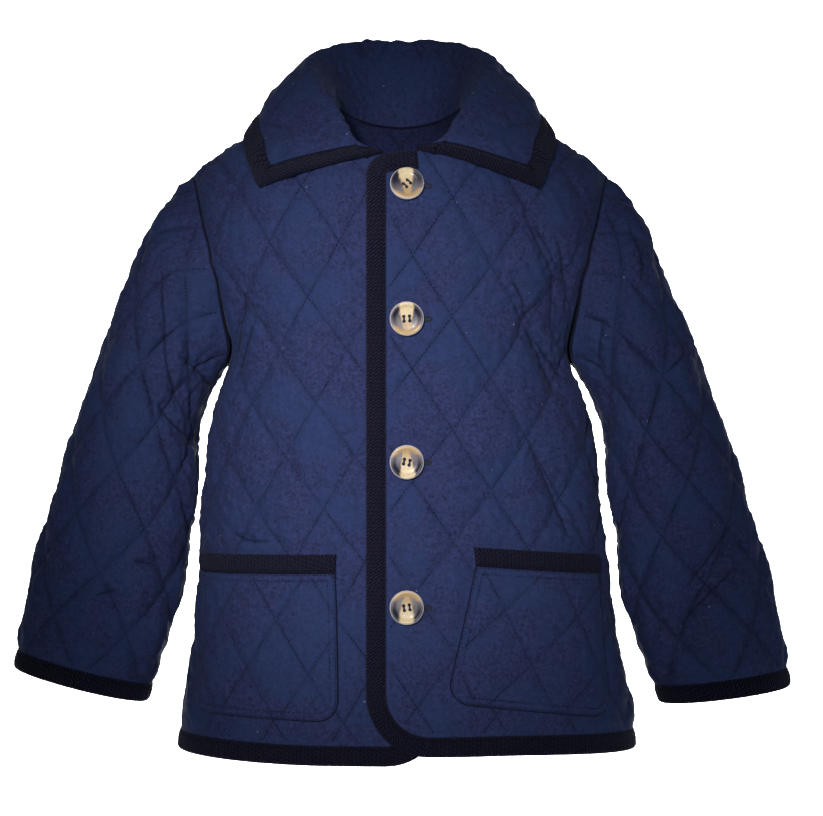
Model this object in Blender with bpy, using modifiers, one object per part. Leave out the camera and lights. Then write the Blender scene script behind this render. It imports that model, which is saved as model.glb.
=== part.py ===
"""Quilted barn jacket, child's size, filled out as when it is worn.

+X is the wearer's left, -Y the front and +Z up. The origin is the middle of the neck opening, level
with the tops of the shoulders. Sizes are in millimetres and become metres when a mesh is made.
Each cut piece is a wall of its own: a plain inner skin, and an outer skin that the wadding raises
between the quilting lines. A piece is drawn flat, as (across, up) in millimetres of cloth, and is
then laid on the form of the body, a sleeve or the collar.
"""

import math

import bmesh
import bpy
import numpy as np
from mathutils import Matrix, Vector
from mathutils.geometry import delaunay_2d_cdt

for old in list(bpy.data.objects):
    bpy.data.objects.remove(old, do_unlink=True)

JACKET = bpy.data.collections.new("barn_jacket")
bpy.context.scene.collection.children.link(JACKET)

MM = 0.001

# Cloth
GAP = 0.3  # between two pieces at a seam
WALL = 2.0  # at a line of quilting
PUFF = 2.6  # rise of the wadding at the middle of a diamond
SEAM_FADE = 11.0  # distance from a seam at which the wadding has its full rise
LAP_LIFT = 2.1  # the upper front stands this much over the form, and the lower front as much under
COVERED = {1: -100.0, -1: -31.0}  # across, where the lower front's wadding is pressed flat
LAP_FLAT = 34.0  # across, where the fronts lie on each other
LAP_END = 78.0  # across, where both are back on the form
LAP_FADE = (-42.0, 0.0)  # up, where the lap ends towards the shoulder seam
BINDING = 12.5  # width of the binding
BINDING_RISE = 0.9  # of the binding over the form
BINDING_SECTION_COLUMNS = ("from_edge", "rise")
BINDING_SECTION = (
    (BINDING, -1.5), (1.6, -2.4), (0, -1.6), (0, -0.4), (1.6, 0.7), (6.5, BINDING_RISE), (BINDING, 0.6),
)
POCKET_WALL = 1.5
EDGE_STEP = 13.0  # between points along a seam
OUTER_CUTS = 3  # points along each side of a diamond, outer skin
INNER_CUTS = 2  # the same, inner skin
OUTER_CLEAR = 4.5  # between an edge and the first points of the outer skin
INNER_CLEAR = 8.0
CURVE_STEPS = 8  # points between two sections of a sleeve or of the collar

# Points along the runs of the outlines
FRONT_EDGE_POINTS = 26
FRONT_HEM_POINTS = 12
BACK_HEM_POINTS = 27
SIDE_POINTS = 21
SHOULDER_POINTS = 9
CUFF_POINTS = 22
UNDERARM_POINTS = 20
COLLAR_EDGE_POINTS = 16

# Body form: rings from the hem up to the chest, then the shoulders as a dome over the chest ring
CHEST = -115.0
RING_POWER = 2.2
BODY_COLUMNS = ("height", "half_width", "front", "back", "lean")
BODY = (
    (-465, 163, 91, 89, 5),
    (-450, 161, 90, 88, 5),
    (-425, 158.5, 89, 87, 5),
    (-394, 151.5, 87, 85, 4.5),
    (-351, 146, 85, 82, 3.5),
    (-309, 142.5, 84, 80, 2),
    (-266, 138.5, 84, 78, 1),
    (-216, 131.5, 84, 77, 0.5),
    (-185, 123, 84.5, 78, 0),
    (-150, 134, 85.5, 81, 0),
    (-115, 147, 86, 85, 0),
)
SHOULDER_COLUMNS = ("out", "height")
SHOULDER = ((0, 13), (20, 8), (43, 0), (80, -14), (114, -28), (136, -41), (147, -50.5))

# Outlines on the body form: the armholes as seen from the side, the neck as seen from the front
ARMHOLE_COLUMNS = ("depth", "height")
ARMHOLE_FRONT = (
    (0, -186), (16, -183.5), (29, -174), (36, -159), (41, -141), (45, -124), (43, -106),
    (33, -86), (19, -66), (8, -55), (0, -50),
)
ARMHOLE_BACK = (
    (0, -186), (15, -183.5), (27, -174), (34, -158), (38, -140), (41, -122), (40, -104),
    (31, -84), (18, -65), (8, -54.5), (0, -50),
)
NECK_COLUMNS = ("out", "height")
NECK_FRONT = ((43, 0), (42.5, -8), (40, -18), (33, -29), (22, -37), (11, -40.5))
NECK_BACK = ((43, 0), (37, -3), (27, -6.5), (14, -9), (0, -10))
NECK_FRONT_LOW = -42.0
CLOSING = 5.0  # X of the line of buttons
LAP = 27.3  # from that line out to a front's edge
TOP_RADIUS = 15.0
CORNER_RADIUS = 42.0
HEM_SIDE = -454.0
HEM_UPPER_FRONT = -450.0
HEM_LOWER_FRONT = -456.5
HEM_BACK = -455.0

# Sleeves: sections from the armhole to the cuff, by their outer and their inner end
SLEEVE_POWER = 2.15
SLEEVE_COLUMNS = ("outer_x", "outer_z", "inner_x", "inner_z", "half_depth", "middle_y")
SLEEVE_RIGHT = (
    (-170, -79, -131, -193, 47, 0),
    (-187, -114, -138, -205, 51, 0),
    (-201, -151, -142, -223, 51, -1),
    (-215, -189, -144.5, -246, 49, -2),
    (-227, -226, -145.5, -269, 46.5, -3),
    (-238, -262, -147.5, -296, 44, -4),
    (-248, -298, -152, -325, 41.5, -4),
    (-258, -333, -159, -357, 39, -4),
    (-266.5, -367, -169, -389, 37, -4),
    (-271, -391, -177, -415, 36, -4),
    (-272, -398, -179.5, -422, 36, -4),
)
SLEEVE_LEFT = (
    (167, -80, 132, -194, 47, 0),
    (181, -116, 139, -206, 51, 0),
    (198, -152, 144, -225, 51, -1),
    (213, -189, 147.5, -247, 49, -2),
    (227, -227, 149.5, -271, 46.5, -3),
    (238, -262, 153, -297, 44, -4),
    (249, -298, 156, -324, 41.5, -4),
    (258, -334, 161, -354, 39, -4),
    (268.5, -372, 172, -388, 37, -4),
    (274.5, -403, 182, -415, 36, -4),
    (275, -411, 184.5, -423, 36, -4),
)
GIRTH_COLUMNS = ("along", "half_girth")
GIRTH = ((0, 136), (60, 141), (120, 147), (180, 153), (240, 156), (420, 156))

# Collar: stations from the middle of the back to the front edge, on the wearer's left
COLLAR_HALF = 196.0
COLLAR_COLUMNS = (
    "station", "roll_x", "roll_y", "roll_z", "edge_x", "edge_y", "edge_z", "round", "bulge", "lift",
)
COLLAR = (
    (0.00, 0, 60, 53, 0, 76, 8, 6, 3, 1.0),
    (0.18, 30, 56, 53, 43, 73, 5, 6.5, 4, 1.0),
    (0.34, 53, 41, 47, 79, 56, -3, 7, 6, 1.1),
    (0.50, 66, 13, 34, 104, 20, -14, 7, 8, 1.6),
    (0.66, 61, -18, 16, 108.5, -13.5, -22, 6.5, 7, 2.0),
    (0.80, 46, -46, -7, 107.5, -36, -35, 5, 4, 2.4),
    (0.92, 33, -68, -32.5, 101, -55, -52, 2, 0, 2.9),
    (1.00, 22, -72.5, -43, 95, -64.5, -64, 1.5, 0, 3.0),
)
STAND_END = (-0.7, -0.8)  # out and up from the crest of the roll, in radii of the roll
FALL_START = (0.9, -0.5)
MITRE_CLEAR = 5.0  # from the mitre of the binding's corner to the next point of the edge
COLLAR_GAP = 0.8  # from the collar's cloth to its binding, which bends sharply with it
COLLAR_CLEAR = 5.8  # from the body's form out to the collar's fall
COLLAR_RISE = 22.0  # length of cloth over which it gets there from the neck seam

# Quilting: a crossing of two lines, and the steps from it down each line to the next crossing
QUILT_COLUMNS = ("piece", "at_x", "at_y", "right_x", "right_y", "left_x", "left_y")
QUILT = (
    ("front_left", 62, -194.6, 26.5, -41, -27, -35),
    ("front_right", -80, -247.6, 27, -36, -22, -36),
    ("back", 0, -250, 25, -37, -25, -37),
    ("sleeve_left", 0, 120, 23, -37, -23, -37),
    ("sleeve_right", 0, 120, 23, -37, -23, -37),
    ("collar", 0, 80, 24, -37, -24, -37),
    ("pocket_left", 86, -389, 18, -37, -37, -31),
    ("pocket_right", -88.2, -359.2, 22, -36, -23, -33),
)

# Folds, drawn on the jacket as it is seen from the front or the back: a negative rise is a trough
FOLD_DEPTHS = (-12, 6)  # a fold begins this far behind the middle of its side, and is full this far in front
FOLD_COLUMNS = ("piece", "side", "x1", "z1", "x2", "z2", "width", "rise")
FOLDS = (
    ("front_left", -1, 82, -74, 109, -148, 15, -2.2),
    ("front_left", -1, 109, -130, 119, -186, 13, -2.6),
    ("front_left", -1, 86, -156, 117, -210, 13, -3.0),
    ("front_left", -1, 92, -196, 112, -290, 14, -2.0),
    ("front_right", -1, -109, -133, -118, -184, 14, -2.6),
    ("front_right", -1, -70, -120, -100, -168, 18, -1.6),
    ("sleeve_right", -1, -167, -96, -160, -215, 16, -2.4),
    ("sleeve_right", -1, -164, -206, -143, -244, 13, -2.6),
    ("sleeve_right", -1, -186, -318, -168, -330, 13, -2.2),
    ("sleeve_left", -1, 160, -82, 169, -132, 15, 2.0),
    ("sleeve_left", -1, 190, -162, 196, -196, 15, 2.0),
    ("sleeve_left", -1, 240, -290, 196, -348, 13, -2.4),
    ("sleeve_left", -1, 243, -322, 190, -374, 13, -2.0),
    ("sleeve_left", 1, 236, -300, 180, -330, 15, -2.4),
    ("sleeve_right", 1, -236, -300, -180, -326, 15, -2.4),
    ("back", 1, 100, -150, 118, -200, 16, -2.6),
    ("back", 1, -100, -150, -118, -200, 16, -2.6),
    ("back", 1, -84, -400, -70, -440, 16, -1.8),
    ("back", 1, 60, -405, 74, -442, 16, -1.8),
)

# Pockets, across and up on the front they are sewn to
POCKET_COLUMNS = (
    "piece", "inner", "inner_low", "outer", "inner_top", "outer_top", "inner_bottom", "outer_bottom",
)
POCKETS = (
    ("pocket_left", 49, 29, 150, -309, -317, -416, -427),
    ("pocket_right", -46, -46, -162, -314, -316, -427, -425),
)
POCKET_RADIUS = 15.0
POCKET_BINDING = 12.5
BAND_RISE = 0.9  # of a pocket's binding over the pocket's wall
BAND_ROUND = 4.0  # width over which it gets there
POCKET_CLEAR = 4.0  # between the edge of a pocket and the first points of its skin

# Buttons
BUTTON_HEIGHTS = (-64.7, -154.8, -251.5, -349.5)
BUTTON_TURNS = (45, 4, -12, 8)
BUTTON_RADIUS = 11.6
BUTTON_THICKNESS = 3.6
BUTTON_SEAT = 15.0  # the cloth is flat this far round a button
BUTTON_GAP = 0.5
BUTTON_SIDES = 20
BUTTON_PROFILE_COLUMNS = ("out", "height")
BUTTON_PROFILE = (
    (0, 2.5), (7, 2.5), (9, BUTTON_THICKNESS), (BUTTON_RADIUS - 0.5, 3.2), (BUTTON_RADIUS, 1.8),
    (BUTTON_RADIUS - 2, 0), (0, 0),
)
HOLE_SIDES = 6
HOLE_RADIUS = 1.15
HOLE_OFFSET = 1.9

NAVY = (0.011, 0.018, 0.062)
BINDING_NAVY = (0.008, 0.009, 0.021)
HORN = (0.10, 0.075, 0.06)


# ---------------------------------------------------------------- tables and curves


def column(rows, names, name):
    """One named column of a table."""
    return np.array([row[names.index(name)] for row in rows], dtype=float)


def smooth(keys, values):
    """A smooth curve through the values, as a function of the key."""
    keys = np.asarray(keys, float)
    values = np.asarray(values, float)
    order = np.argsort(keys)
    keys, values = keys[order], values[order]
    slopes = np.gradient(values, keys)

    def at(where):
        where = np.clip(where, keys[0], keys[-1])
        index = np.clip(np.searchsorted(keys, where) - 1, 0, len(keys) - 2)
        step = keys[index + 1] - keys[index]
        u = (where - keys[index]) / step
        start = (2 * u**3 - 3 * u**2 + 1) * values[index] + (u**3 - 2 * u**2 + u) * step * slopes[index]
        end = (3 * u**2 - 2 * u**3) * values[index + 1] + (u**3 - u**2) * step * slopes[index + 1]
        return start + end

    return at


def table_curve(rows, names, key, name):
    return smooth(column(rows, names, key), column(rows, names, name))


def signed_power(values, power):
    return np.sign(values) * np.abs(values) ** power


def ramp(values, low, high):
    """0 at low and 1 at high, with a soft start and end."""
    u = np.clip((values - low) / (high - low), 0, 1)
    return u * u * (3 - 2 * u)


def unit(vectors):
    return vectors / np.maximum(np.linalg.norm(vectors, axis=-1, keepdims=True), 1e-12)


def lengths_along(points):
    """Distance from the first point to each one, along the last axis but one."""
    steps = np.linalg.norm(np.diff(points, axis=-2), axis=-1)
    start = np.zeros(steps.shape[:-1] + (1,))
    return np.concatenate([start, np.cumsum(steps, axis=-1)], axis=-1)


def point_at(points, lengths, distance):
    """For each row of points, the place at that distance along it; past the end it goes straight on."""
    last = lengths.shape[1] - 1
    index = np.clip((lengths < distance[:, None]).sum(axis=1), 1, last)
    rows = np.arange(len(distance))
    low, high = lengths[rows, index - 1], lengths[rows, index]
    u = ((distance - low) / np.maximum(high - low, 1e-9))[:, None]
    return points[rows, index - 1] * (1 - u) + points[rows, index] * u


def smooth_path(corners, step):
    """Points about a step apart on a smooth curve through the corners."""
    corners = np.asarray(corners, float)
    keys = lengths_along(corners)
    dense = np.linspace(0, keys[-1], 400)
    curve = np.stack([smooth(keys, corners[:, axis])(dense) for axis in range(corners.shape[1])], axis=1)
    return resample(curve, step)


def resample(points, step):
    keys = lengths_along(points)
    count = max(int(round(keys[-1] / step)), 1)
    wanted = np.linspace(0, keys[-1], count + 1)
    return np.stack([np.interp(wanted, keys, points[:, axis]) for axis in range(points.shape[1])], axis=1)


def curves_through(knots):
    """For each row of knots, the points of a smooth curve that passes through them all."""
    before = 2 * knots[:, :1] - knots[:, 1:2]
    after = 2 * knots[:, -1:] - knots[:, -2:-1]
    knots = np.concatenate([before, knots, after], axis=1)
    u = np.linspace(0, 1, CURVE_STEPS, endpoint=False)[:, None]
    pieces = []
    for index in range(1, knots.shape[1] - 2):
        a, b, c, d = (knots[:, index + shift, None] for shift in (-1, 0, 1, 2))
        bend = (2 * a - 5 * b + 4 * c - d) * u**2 + (3 * b - a - 3 * c + d) * u**3
        pieces.append(0.5 * (2 * b + (c - a) * u + bend))
    pieces.append(knots[:, -2:-1])
    return np.concatenate(pieces, axis=1)


def arc(centre, radius, start, end, step_angle):
    """Points on an arc, its angles in degrees."""
    count = max(int(round(abs(end - start) / step_angle)), 1)
    angles = np.radians(np.linspace(start, end, count + 1))
    return np.stack([centre[0] + radius * np.cos(angles), centre[1] + radius * np.sin(angles)], axis=1)


def joined(*runs):
    """The runs of points as one path, with no point twice."""
    points = np.concatenate([np.asarray(run, float).reshape(-1, 2) for run in runs])
    keep = np.ones(len(points), bool)
    keep[1:] = np.linalg.norm(np.diff(points, axis=0), axis=1) > 0.05
    return points[keep]


def inward(path):
    """Vectors to the left of a flat path, lengthened at a corner as a mitre is."""
    ahead = unit(np.diff(path, axis=0))
    left = np.stack([-ahead[:, 1], ahead[:, 0]], axis=1)
    before, after = np.concatenate([left[:1], left]), np.concatenate([left, left[-1:]])
    return (before + after) / (1 + (before * after).sum(axis=1))[:, None]


# ---------------------------------------------------------------- the body's form

half_width = table_curve(BODY, BODY_COLUMNS, "height", "half_width")
front_depth = table_curve(BODY, BODY_COLUMNS, "height", "front")
back_depth = table_curve(BODY, BODY_COLUMNS, "height", "back")
lean = table_curve(BODY, BODY_COLUMNS, "height", "lean")
shoulder_height = table_curve(SHOULDER, SHOULDER_COLUMNS, "out", "height")

QUARTER_TURN = np.linspace(0, np.pi / 2, 49)
RING_SIN = np.sin(QUARTER_TURN) ** (2 / RING_POWER)
RING_COS = np.cos(QUARTER_TURN) ** (2 / RING_POWER)


def ring_depth(height, side):
    return back_depth(height) if side > 0 else front_depth(height)


def shoulder_arc(x, depth):
    """Length of cloth in a column over the shoulder, from the chest ring up to the ridge."""
    return np.pi / 2 * np.sqrt(((shoulder_height(x) - CHEST) ** 2 + depth**2) / 2)


def quarter_ring(up, side):
    """For each height of cloth, a quarter of the ring from the centre line to the side."""
    up = np.atleast_1d(np.asarray(up, float))
    height = np.minimum(up, CHEST)
    x = half_width(height)[:, None] * RING_SIN
    depth = ring_depth(height, side)[:, None] * RING_COS
    turn = np.clip((up[:, None] - CHEST) / shoulder_arc(x, depth), 0, 1) * np.pi / 2
    z = height[:, None] + (shoulder_height(x) - CHEST) * np.sin(turn)
    points = np.stack([x, side * depth * np.cos(turn), z], axis=2)
    return points, lengths_along(points)


def flat_at(x, z, side):
    """Flat place of the point of the form at a distance out and a height."""
    x, z = np.atleast_1d(x), np.atleast_1d(z)
    height = np.minimum(z, CHEST)
    width = half_width(height)
    x = np.minimum(x, width)
    depth = ring_depth(height, side) * (1 - (x / width) ** RING_POWER) ** (1 / RING_POWER)
    rise = np.clip((z - CHEST) / (shoulder_height(x) - CHEST), 0, 1)
    up = np.where(z > CHEST, CHEST + shoulder_arc(x, depth) * np.arcsin(rise) / (np.pi / 2), z)
    ring, lengths = quarter_ring(up, side)
    across = [np.interp(x[i], ring[i, :, 0], lengths[i]) for i in range(len(x))]
    return np.stack([across, up], axis=1)


def out_at(depth, height, side):
    """Distance out of the point of the form at a depth and a height, near the armhole."""
    ring = np.minimum(height, CHEST)
    x = half_width(ring) * np.linspace(0.6, 1, 400)
    base = ring_depth(ring, side) * (1 - np.linspace(0.6, 1, 400) ** RING_POWER) ** (1 / RING_POWER)
    rise = np.clip((height - CHEST) / (shoulder_height(x) - CHEST), 0, 1)
    return float(np.interp(-depth, -base * np.sqrt(1 - rise**2), x))


def side_arc(up, side):
    """Length of cloth from the centre line to the side seam."""
    return quarter_ring(up, side)[1][:, -1]


def on_body(side):
    """The body's form in front (side -1) or at the back (side 1), as a function of (across, up)."""

    def place(flat):
        across, up = flat[:, 0], flat[:, 1]
        ring, lengths = quarter_ring(up, side)
        points = point_at(ring, lengths, np.abs(across))
        points[:, 0] *= np.where(across < 0, -1, 1)
        points[:, 0] += lean(np.minimum(up, CHEST))
        return points

    return place


def normals_on(place, flat):
    """Unit normals of a form, on the side that a flat piece shows when across runs right and up runs up."""
    step = 0.5
    right = place(flat + (step, 0)) - place(flat - (step, 0))
    above = place(flat + (0, step)) - place(flat - (0, step))
    return unit(np.cross(right, above))


def ridge_normal(x):
    """Normals of the form on the shoulder ridge."""
    slope = (shoulder_height(np.abs(x) + 1) - shoulder_height(np.abs(x) - 1)) / 2 * np.sign(x)
    return unit(np.stack([-slope, np.zeros(len(x)), np.ones(len(x))], axis=1))


# ---------------------------------------------------------------- armholes


def armhole(rows, side, hand):
    """Flat points of half an armhole, from the side seam up to the shoulder seam."""
    path = smooth_path(rows, 1.0)
    out = np.array([out_at(depth, height, side) for depth, height in path])
    flat = resample(flat_at(out, path[:, 1], side), EDGE_STEP)
    flat[0, 0] = side_arc(flat[0, 1], side)[0]
    return flat * (hand, 1)


def armhole_points(hand):
    """The whole armhole in space, with the body's normals: underarm, front, shoulder, back, underarm."""
    front, back = armhole(ARMHOLE_FRONT, -1, hand), armhole(ARMHOLE_BACK, 1, hand)
    points = np.concatenate([on_body(-1)(front), on_body(1)(back[::-1])[1:]])
    normals = np.concatenate(
        [normals_on(on_body(-1), front), -normals_on(on_body(1), back[::-1])[1:]]
    )
    middle = len(front) - 1
    normals[middle] = unit(ridge_normal(points[middle : middle + 1, 0]))[0]
    points[middle, 1] = 0
    return points, normals, middle


# ---------------------------------------------------------------- the sleeves' form

half_girth = table_curve(GIRTH, GIRTH_COLUMNS, "along", "half_girth")


def section_points(rows, turn):
    """For each turn round the sleeve, its points from the cuff up to the section below the armhole."""
    outer = np.stack([column(rows, SLEEVE_COLUMNS, "outer_x"), column(rows, SLEEVE_COLUMNS, "outer_z")], axis=1)
    inner = np.stack([column(rows, SLEEVE_COLUMNS, "inner_x"), column(rows, SLEEVE_COLUMNS, "inner_z")], axis=1)
    depth = column(rows, SLEEVE_COLUMNS, "half_depth")
    middle_y = column(rows, SLEEVE_COLUMNS, "middle_y")
    out = signed_power(np.cos(turn), 2 / SLEEVE_POWER)[:, None, None]
    forward = signed_power(np.sin(turn), 2 / SLEEVE_POWER)[:, None]
    flat = (outer + inner) / 2 - out * (outer - inner) / 2
    y = middle_y - forward * depth
    points = np.stack([flat[:, :, 0], y, flat[:, :, 1]], axis=2)
    return points[:, ::-1]


def rails(rows, hand):
    """A function that gives, for each turn round the sleeve, a smooth line from the cuff to the armhole."""
    loop, _, middle = armhole_points(hand)
    lengths = lengths_along(loop)
    share = np.where(
        np.arange(len(loop)) <= middle,
        lengths / lengths[middle],
        1 + (lengths - lengths[middle]) / (lengths[-1] - lengths[middle]),
    )

    def line(turn):
        at = np.clip(turn / np.pi, 0, 2)
        ends = np.stack([np.interp(at, share, loop[:, axis]) for axis in range(3)], axis=1)
        points = curves_through(np.concatenate([section_points(rows, turn), ends[:, None]], axis=1))
        return points, lengths_along(points)

    return line, share


def turn_of(across, along):
    """Turn round the sleeve: 0 at the underarm seam, then the front, the outer side and the back."""
    return np.pi * (1 - across / half_girth(np.maximum(along, 0)))


def on_sleeve(rows, hand):
    line, _ = rails(rows, hand)

    def place(flat):
        points, lengths = line(np.clip(turn_of(flat[:, 0], flat[:, 1]), 0, 2 * np.pi))
        return point_at(points, lengths, flat[:, 1])

    return place


# ---------------------------------------------------------------- the collar's form


def lap_lift(hand):
    """How far a front stands off the form where the fronts lie on each other, fading towards the neck."""

    def lift(flat):
        share = 1 - ramp(hand * flat[:, 0], LAP_FLAT, LAP_END)
        return hand * LAP_LIFT * share * (1 - ramp(flat[:, 1], *LAP_FADE))

    return lift


def neck_path(rows, side, step):
    """Flat points on a half of the neck seam, from the shoulder seam."""
    path = smooth_path(rows, 1.0)
    return resample(flat_at(path[:, 0], path[:, 1], side), step)


def neck_line():
    """The neck seam from the middle of the back to the collar's end: points, normals, lengths, lap."""
    front, back = neck_path(NECK_FRONT, -1, 2.0), neck_path(NECK_BACK, 1, 2.0)[::-1]
    lap = np.concatenate([np.zeros(len(back)), lap_lift(1)(front)[1:]])
    points = np.concatenate([on_body(1)(back), on_body(-1)(front)[1:]])
    normals = np.concatenate([-normals_on(on_body(1), back), normals_on(on_body(-1), front)[1:]])
    seam = len(back) - 1
    normals[seam] = ridge_normal(points[seam : seam + 1, 0])[0]
    return points, normals, lengths_along(points), lap


NECK_LINE = neck_line()


def neck_at(share):
    """Points and normals on the neck seam, at a share from the middle of the back to the collar's end."""
    points, normals, lengths, lap = NECK_LINE
    wanted = share * lengths[-1]
    place = np.stack([np.interp(wanted, lengths, points[:, axis]) for axis in range(3)], axis=1)
    normal = np.stack([np.interp(wanted, lengths, normals[:, axis]) for axis in range(3)], axis=1)
    return place, unit(normal), np.interp(wanted, lengths, lap)


COLLAR_CURVES = {name: table_curve(COLLAR, COLLAR_COLUMNS, "station", name) for name in COLLAR_COLUMNS[1:]}


def body_level(points):
    """1 on the body's form above the chest ring, more outside it and less inside it."""
    x, y, z = np.abs(points[..., 0]), points[..., 1], points[..., 2]
    depth = np.where(y < 0, ring_depth(CHEST, -1), ring_depth(CHEST, 1))
    depth = depth * (1 - (x / half_width(CHEST)) ** RING_POWER) ** (1 / RING_POWER)
    return np.hypot(y / depth, (z - CHEST) / (shoulder_height(x) - CHEST))


def clear_of_body(points, lengths, start):
    """Moves the collar's sections out from the body, from their lift at the neck seam to the full clearance."""
    share = ramp(lengths, 0, COLLAR_RISE)
    for _ in range(3):
        side = np.where(points[..., 0] < 0, -1, 1)
        lap = side * LAP_LIFT * (1 - ramp(np.abs(points[..., 0]), LAP_FLAT, LAP_END))
        lap = lap * (1 - ramp(points[..., 2], *LAP_FADE))
        level = body_level(points)
        steps = [body_level(points + step) - level for step in 0.1 * np.eye(3)]
        slope = np.stack(steps, axis=-1) / 0.1
        steepness = np.linalg.norm(slope, axis=-1)
        wanted = start[:, None] * (1 - share) + COLLAR_CLEAR * share + lap
        missing = np.maximum(wanted - (level - 1) / steepness, 0) * ramp(lengths, 0, 3)
        points = points + slope * (missing / steepness)[..., None]
    return points


def collar_section(across):
    """For each distance from the middle of the back, the collar's section from the neck seam to its edge."""
    share = np.clip(np.abs(across) / COLLAR_HALF, 0, 1)
    row = {name: curve(share) for name, curve in COLLAR_CURVES.items()}
    place, normal, lap = neck_at(share)
    lapped = normal * (lap * np.sign(across))[:, None]
    seam = place + normal * row["lift"][:, None] + lapped
    roll = np.stack([row["roll_x"], row["roll_y"], row["roll_z"]], axis=1) + lapped
    edge = np.stack([row["edge_x"], row["edge_y"], row["edge_z"]], axis=1)
    out = unit(edge - seam)
    up = unit(np.cross(out, np.cross(roll - seam, edge - roll)))
    up *= np.sign((up * (roll - seam)).sum(axis=1))[:, None]
    radius = row["round"][:, None]
    stand_end = roll + (out * STAND_END[0] + up * STAND_END[1]) * radius
    fall_start = roll + (out * FALL_START[0] + up * FALL_START[1]) * radius
    middle = (fall_start + edge) / 2 + up * row["bulge"][:, None]
    stand_middle = (seam + stand_end) / 2
    knots = np.stack([seam, stand_middle, stand_end, roll, fall_start, middle, edge], axis=1)
    knots[:, :, 0] *= np.where(across < 0, -1, 1)[:, None]
    points = curves_through(knots)
    points = clear_of_body(points, lengths_along(points), row["lift"])
    return points, lengths_along(points)


def collar_depth(across):
    """Length of cloth from the neck seam to the collar's outer edge."""
    return collar_section(np.atleast_1d(across))[1][:, -1]


def on_collar(flat):
    points, lengths = collar_section(flat[:, 0])
    return point_at(points, lengths, flat[:, 1])


# ---------------------------------------------------------------- quilting, folds and triangles


def quilt_steps(piece):
    """A crossing of the quilting lines, and the steps down to its two neighbours."""
    row = next(row for row in QUILT if row[0] == piece)
    values = np.array(row[1:], float)
    return values[:2], np.stack([values[2:4], values[4:6]])


def quilt_coordinates(piece, flat):
    """Places counted in diamonds, so that each line of quilting has a whole number."""
    crossing, steps = quilt_steps(piece)
    return (flat - crossing) @ np.linalg.inv(steps)


def wadding(piece, flat, room):
    """Rise of the padded cloth at flat points that lie the given distance from a seam."""
    counted = quilt_coordinates(piece, flat)
    rise = np.abs(np.sin(np.pi * counted)).prod(axis=1) ** 0.5
    return PUFF * rise * ramp(room, 0, SEAM_FADE)


def quilt_points(piece, outline, cuts, clearance, holes=()):
    """Points on the quilting lines and between them, inside an outline and outside its holes."""
    crossing, steps = quilt_steps(piece)
    low, high = outline.min(axis=0), outline.max(axis=0)
    corners = np.array([(x, y) for x in (low[0], high[0]) for y in (low[1], high[1])])
    counted = quilt_coordinates(piece, corners)
    low, high = np.floor(counted.min(axis=0)), np.ceil(counted.max(axis=0))
    first = np.arange(low[0] * cuts, high[0] * cuts + 1) / cuts
    second = np.arange(low[1] * cuts, high[1] * cuts + 1) / cuts
    grid = np.stack(np.meshgrid(first, second), axis=2).reshape(-1, 2)
    points = crossing + grid @ steps
    keep = inside(points, outline) & (distance_to(points, outline) > clearance)
    for hole in holes:
        keep &= ~inside(points, hole) & (distance_to(points, hole) > clearance)
    return points[keep]


def inside(points, loop):
    """Whether each flat point lies inside a closed outline."""
    start, end = loop, np.roll(loop, -1, axis=0)
    x, y = points[:, 0, None], points[:, 1, None]
    spans = (start[:, 1] > y) != (end[:, 1] > y)
    rise = np.where(np.abs(end[:, 1] - start[:, 1]) < 1e-9, 1e-9, end[:, 1] - start[:, 1])
    cross = start[:, 0] + (y - start[:, 1]) * (end[:, 0] - start[:, 0]) / rise
    return (spans & (x < cross)).sum(axis=1) % 2 == 1


def distance_to(points, loop):
    """Distance from each flat point to a closed outline."""
    start, step = loop, np.roll(loop, -1, axis=0) - loop
    share = ((points[:, None] - start) * step).sum(axis=2) / np.maximum((step**2).sum(axis=1), 1e-9)
    nearest = start + np.clip(share, 0, 1)[:, :, None] * step
    return np.linalg.norm(points[:, None] - nearest, axis=2).min(axis=1)


def fold_rise(piece, points):
    """Rise of the folds at points in space."""
    rise = np.zeros(len(points))
    for name, side, x1, z1, x2, z2, width, height in FOLDS:
        if name != piece:
            continue
        seen = points[:, [0, 2]]
        start, step = np.array((x1, z1), float), np.array((x2 - x1, z2 - z1), float)
        share = np.clip((seen - start) @ step / (step @ step), 0, 1)
        away = np.linalg.norm(seen - start - share[:, None] * step, axis=1)
        ends = ramp(share, -0.25, 0.25) * ramp(1 - share, -0.25, 0.25)
        rise += height * np.exp(-((away / width) ** 2)) * ends * ramp(points[:, 1] * side, *FOLD_DEPTHS)
    return rise


def triangles(loops, points):
    """Triangles over the first loop, with every loop kept as edges, as indices into the points in order."""
    flat = np.concatenate([*loops, points])
    edges = []
    start = 0
    for loop in loops:
        count = len(loop)
        edges += [(start + i, start + (i + 1) % count) for i in range(count)]
        start += count
    vectors = [Vector(point) for point in flat]
    made, _, faces, origins, _, _ = delaunay_2d_cdt(vectors, edges, [], 1, 1e-5)
    first = [origin[0] for origin in origins]
    return flat, np.array([[first[corner] for corner in face] for face in faces])


# ---------------------------------------------------------------- making pieces


def material(name, color, roughness, sheen=0.0):
    """A plain material for one piece."""
    made = bpy.data.materials.new(name)
    made.use_nodes = True
    shader = made.node_tree.nodes["Principled BSDF"]
    shader.inputs["Base Color"].default_value = (*color, 1)
    shader.inputs["Roughness"].default_value = roughness
    shader.inputs["Metallic"].default_value = 0
    shader.inputs["Sheen Weight"].default_value = sheen
    made.diffuse_color = (*color, 1)
    return made


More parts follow.
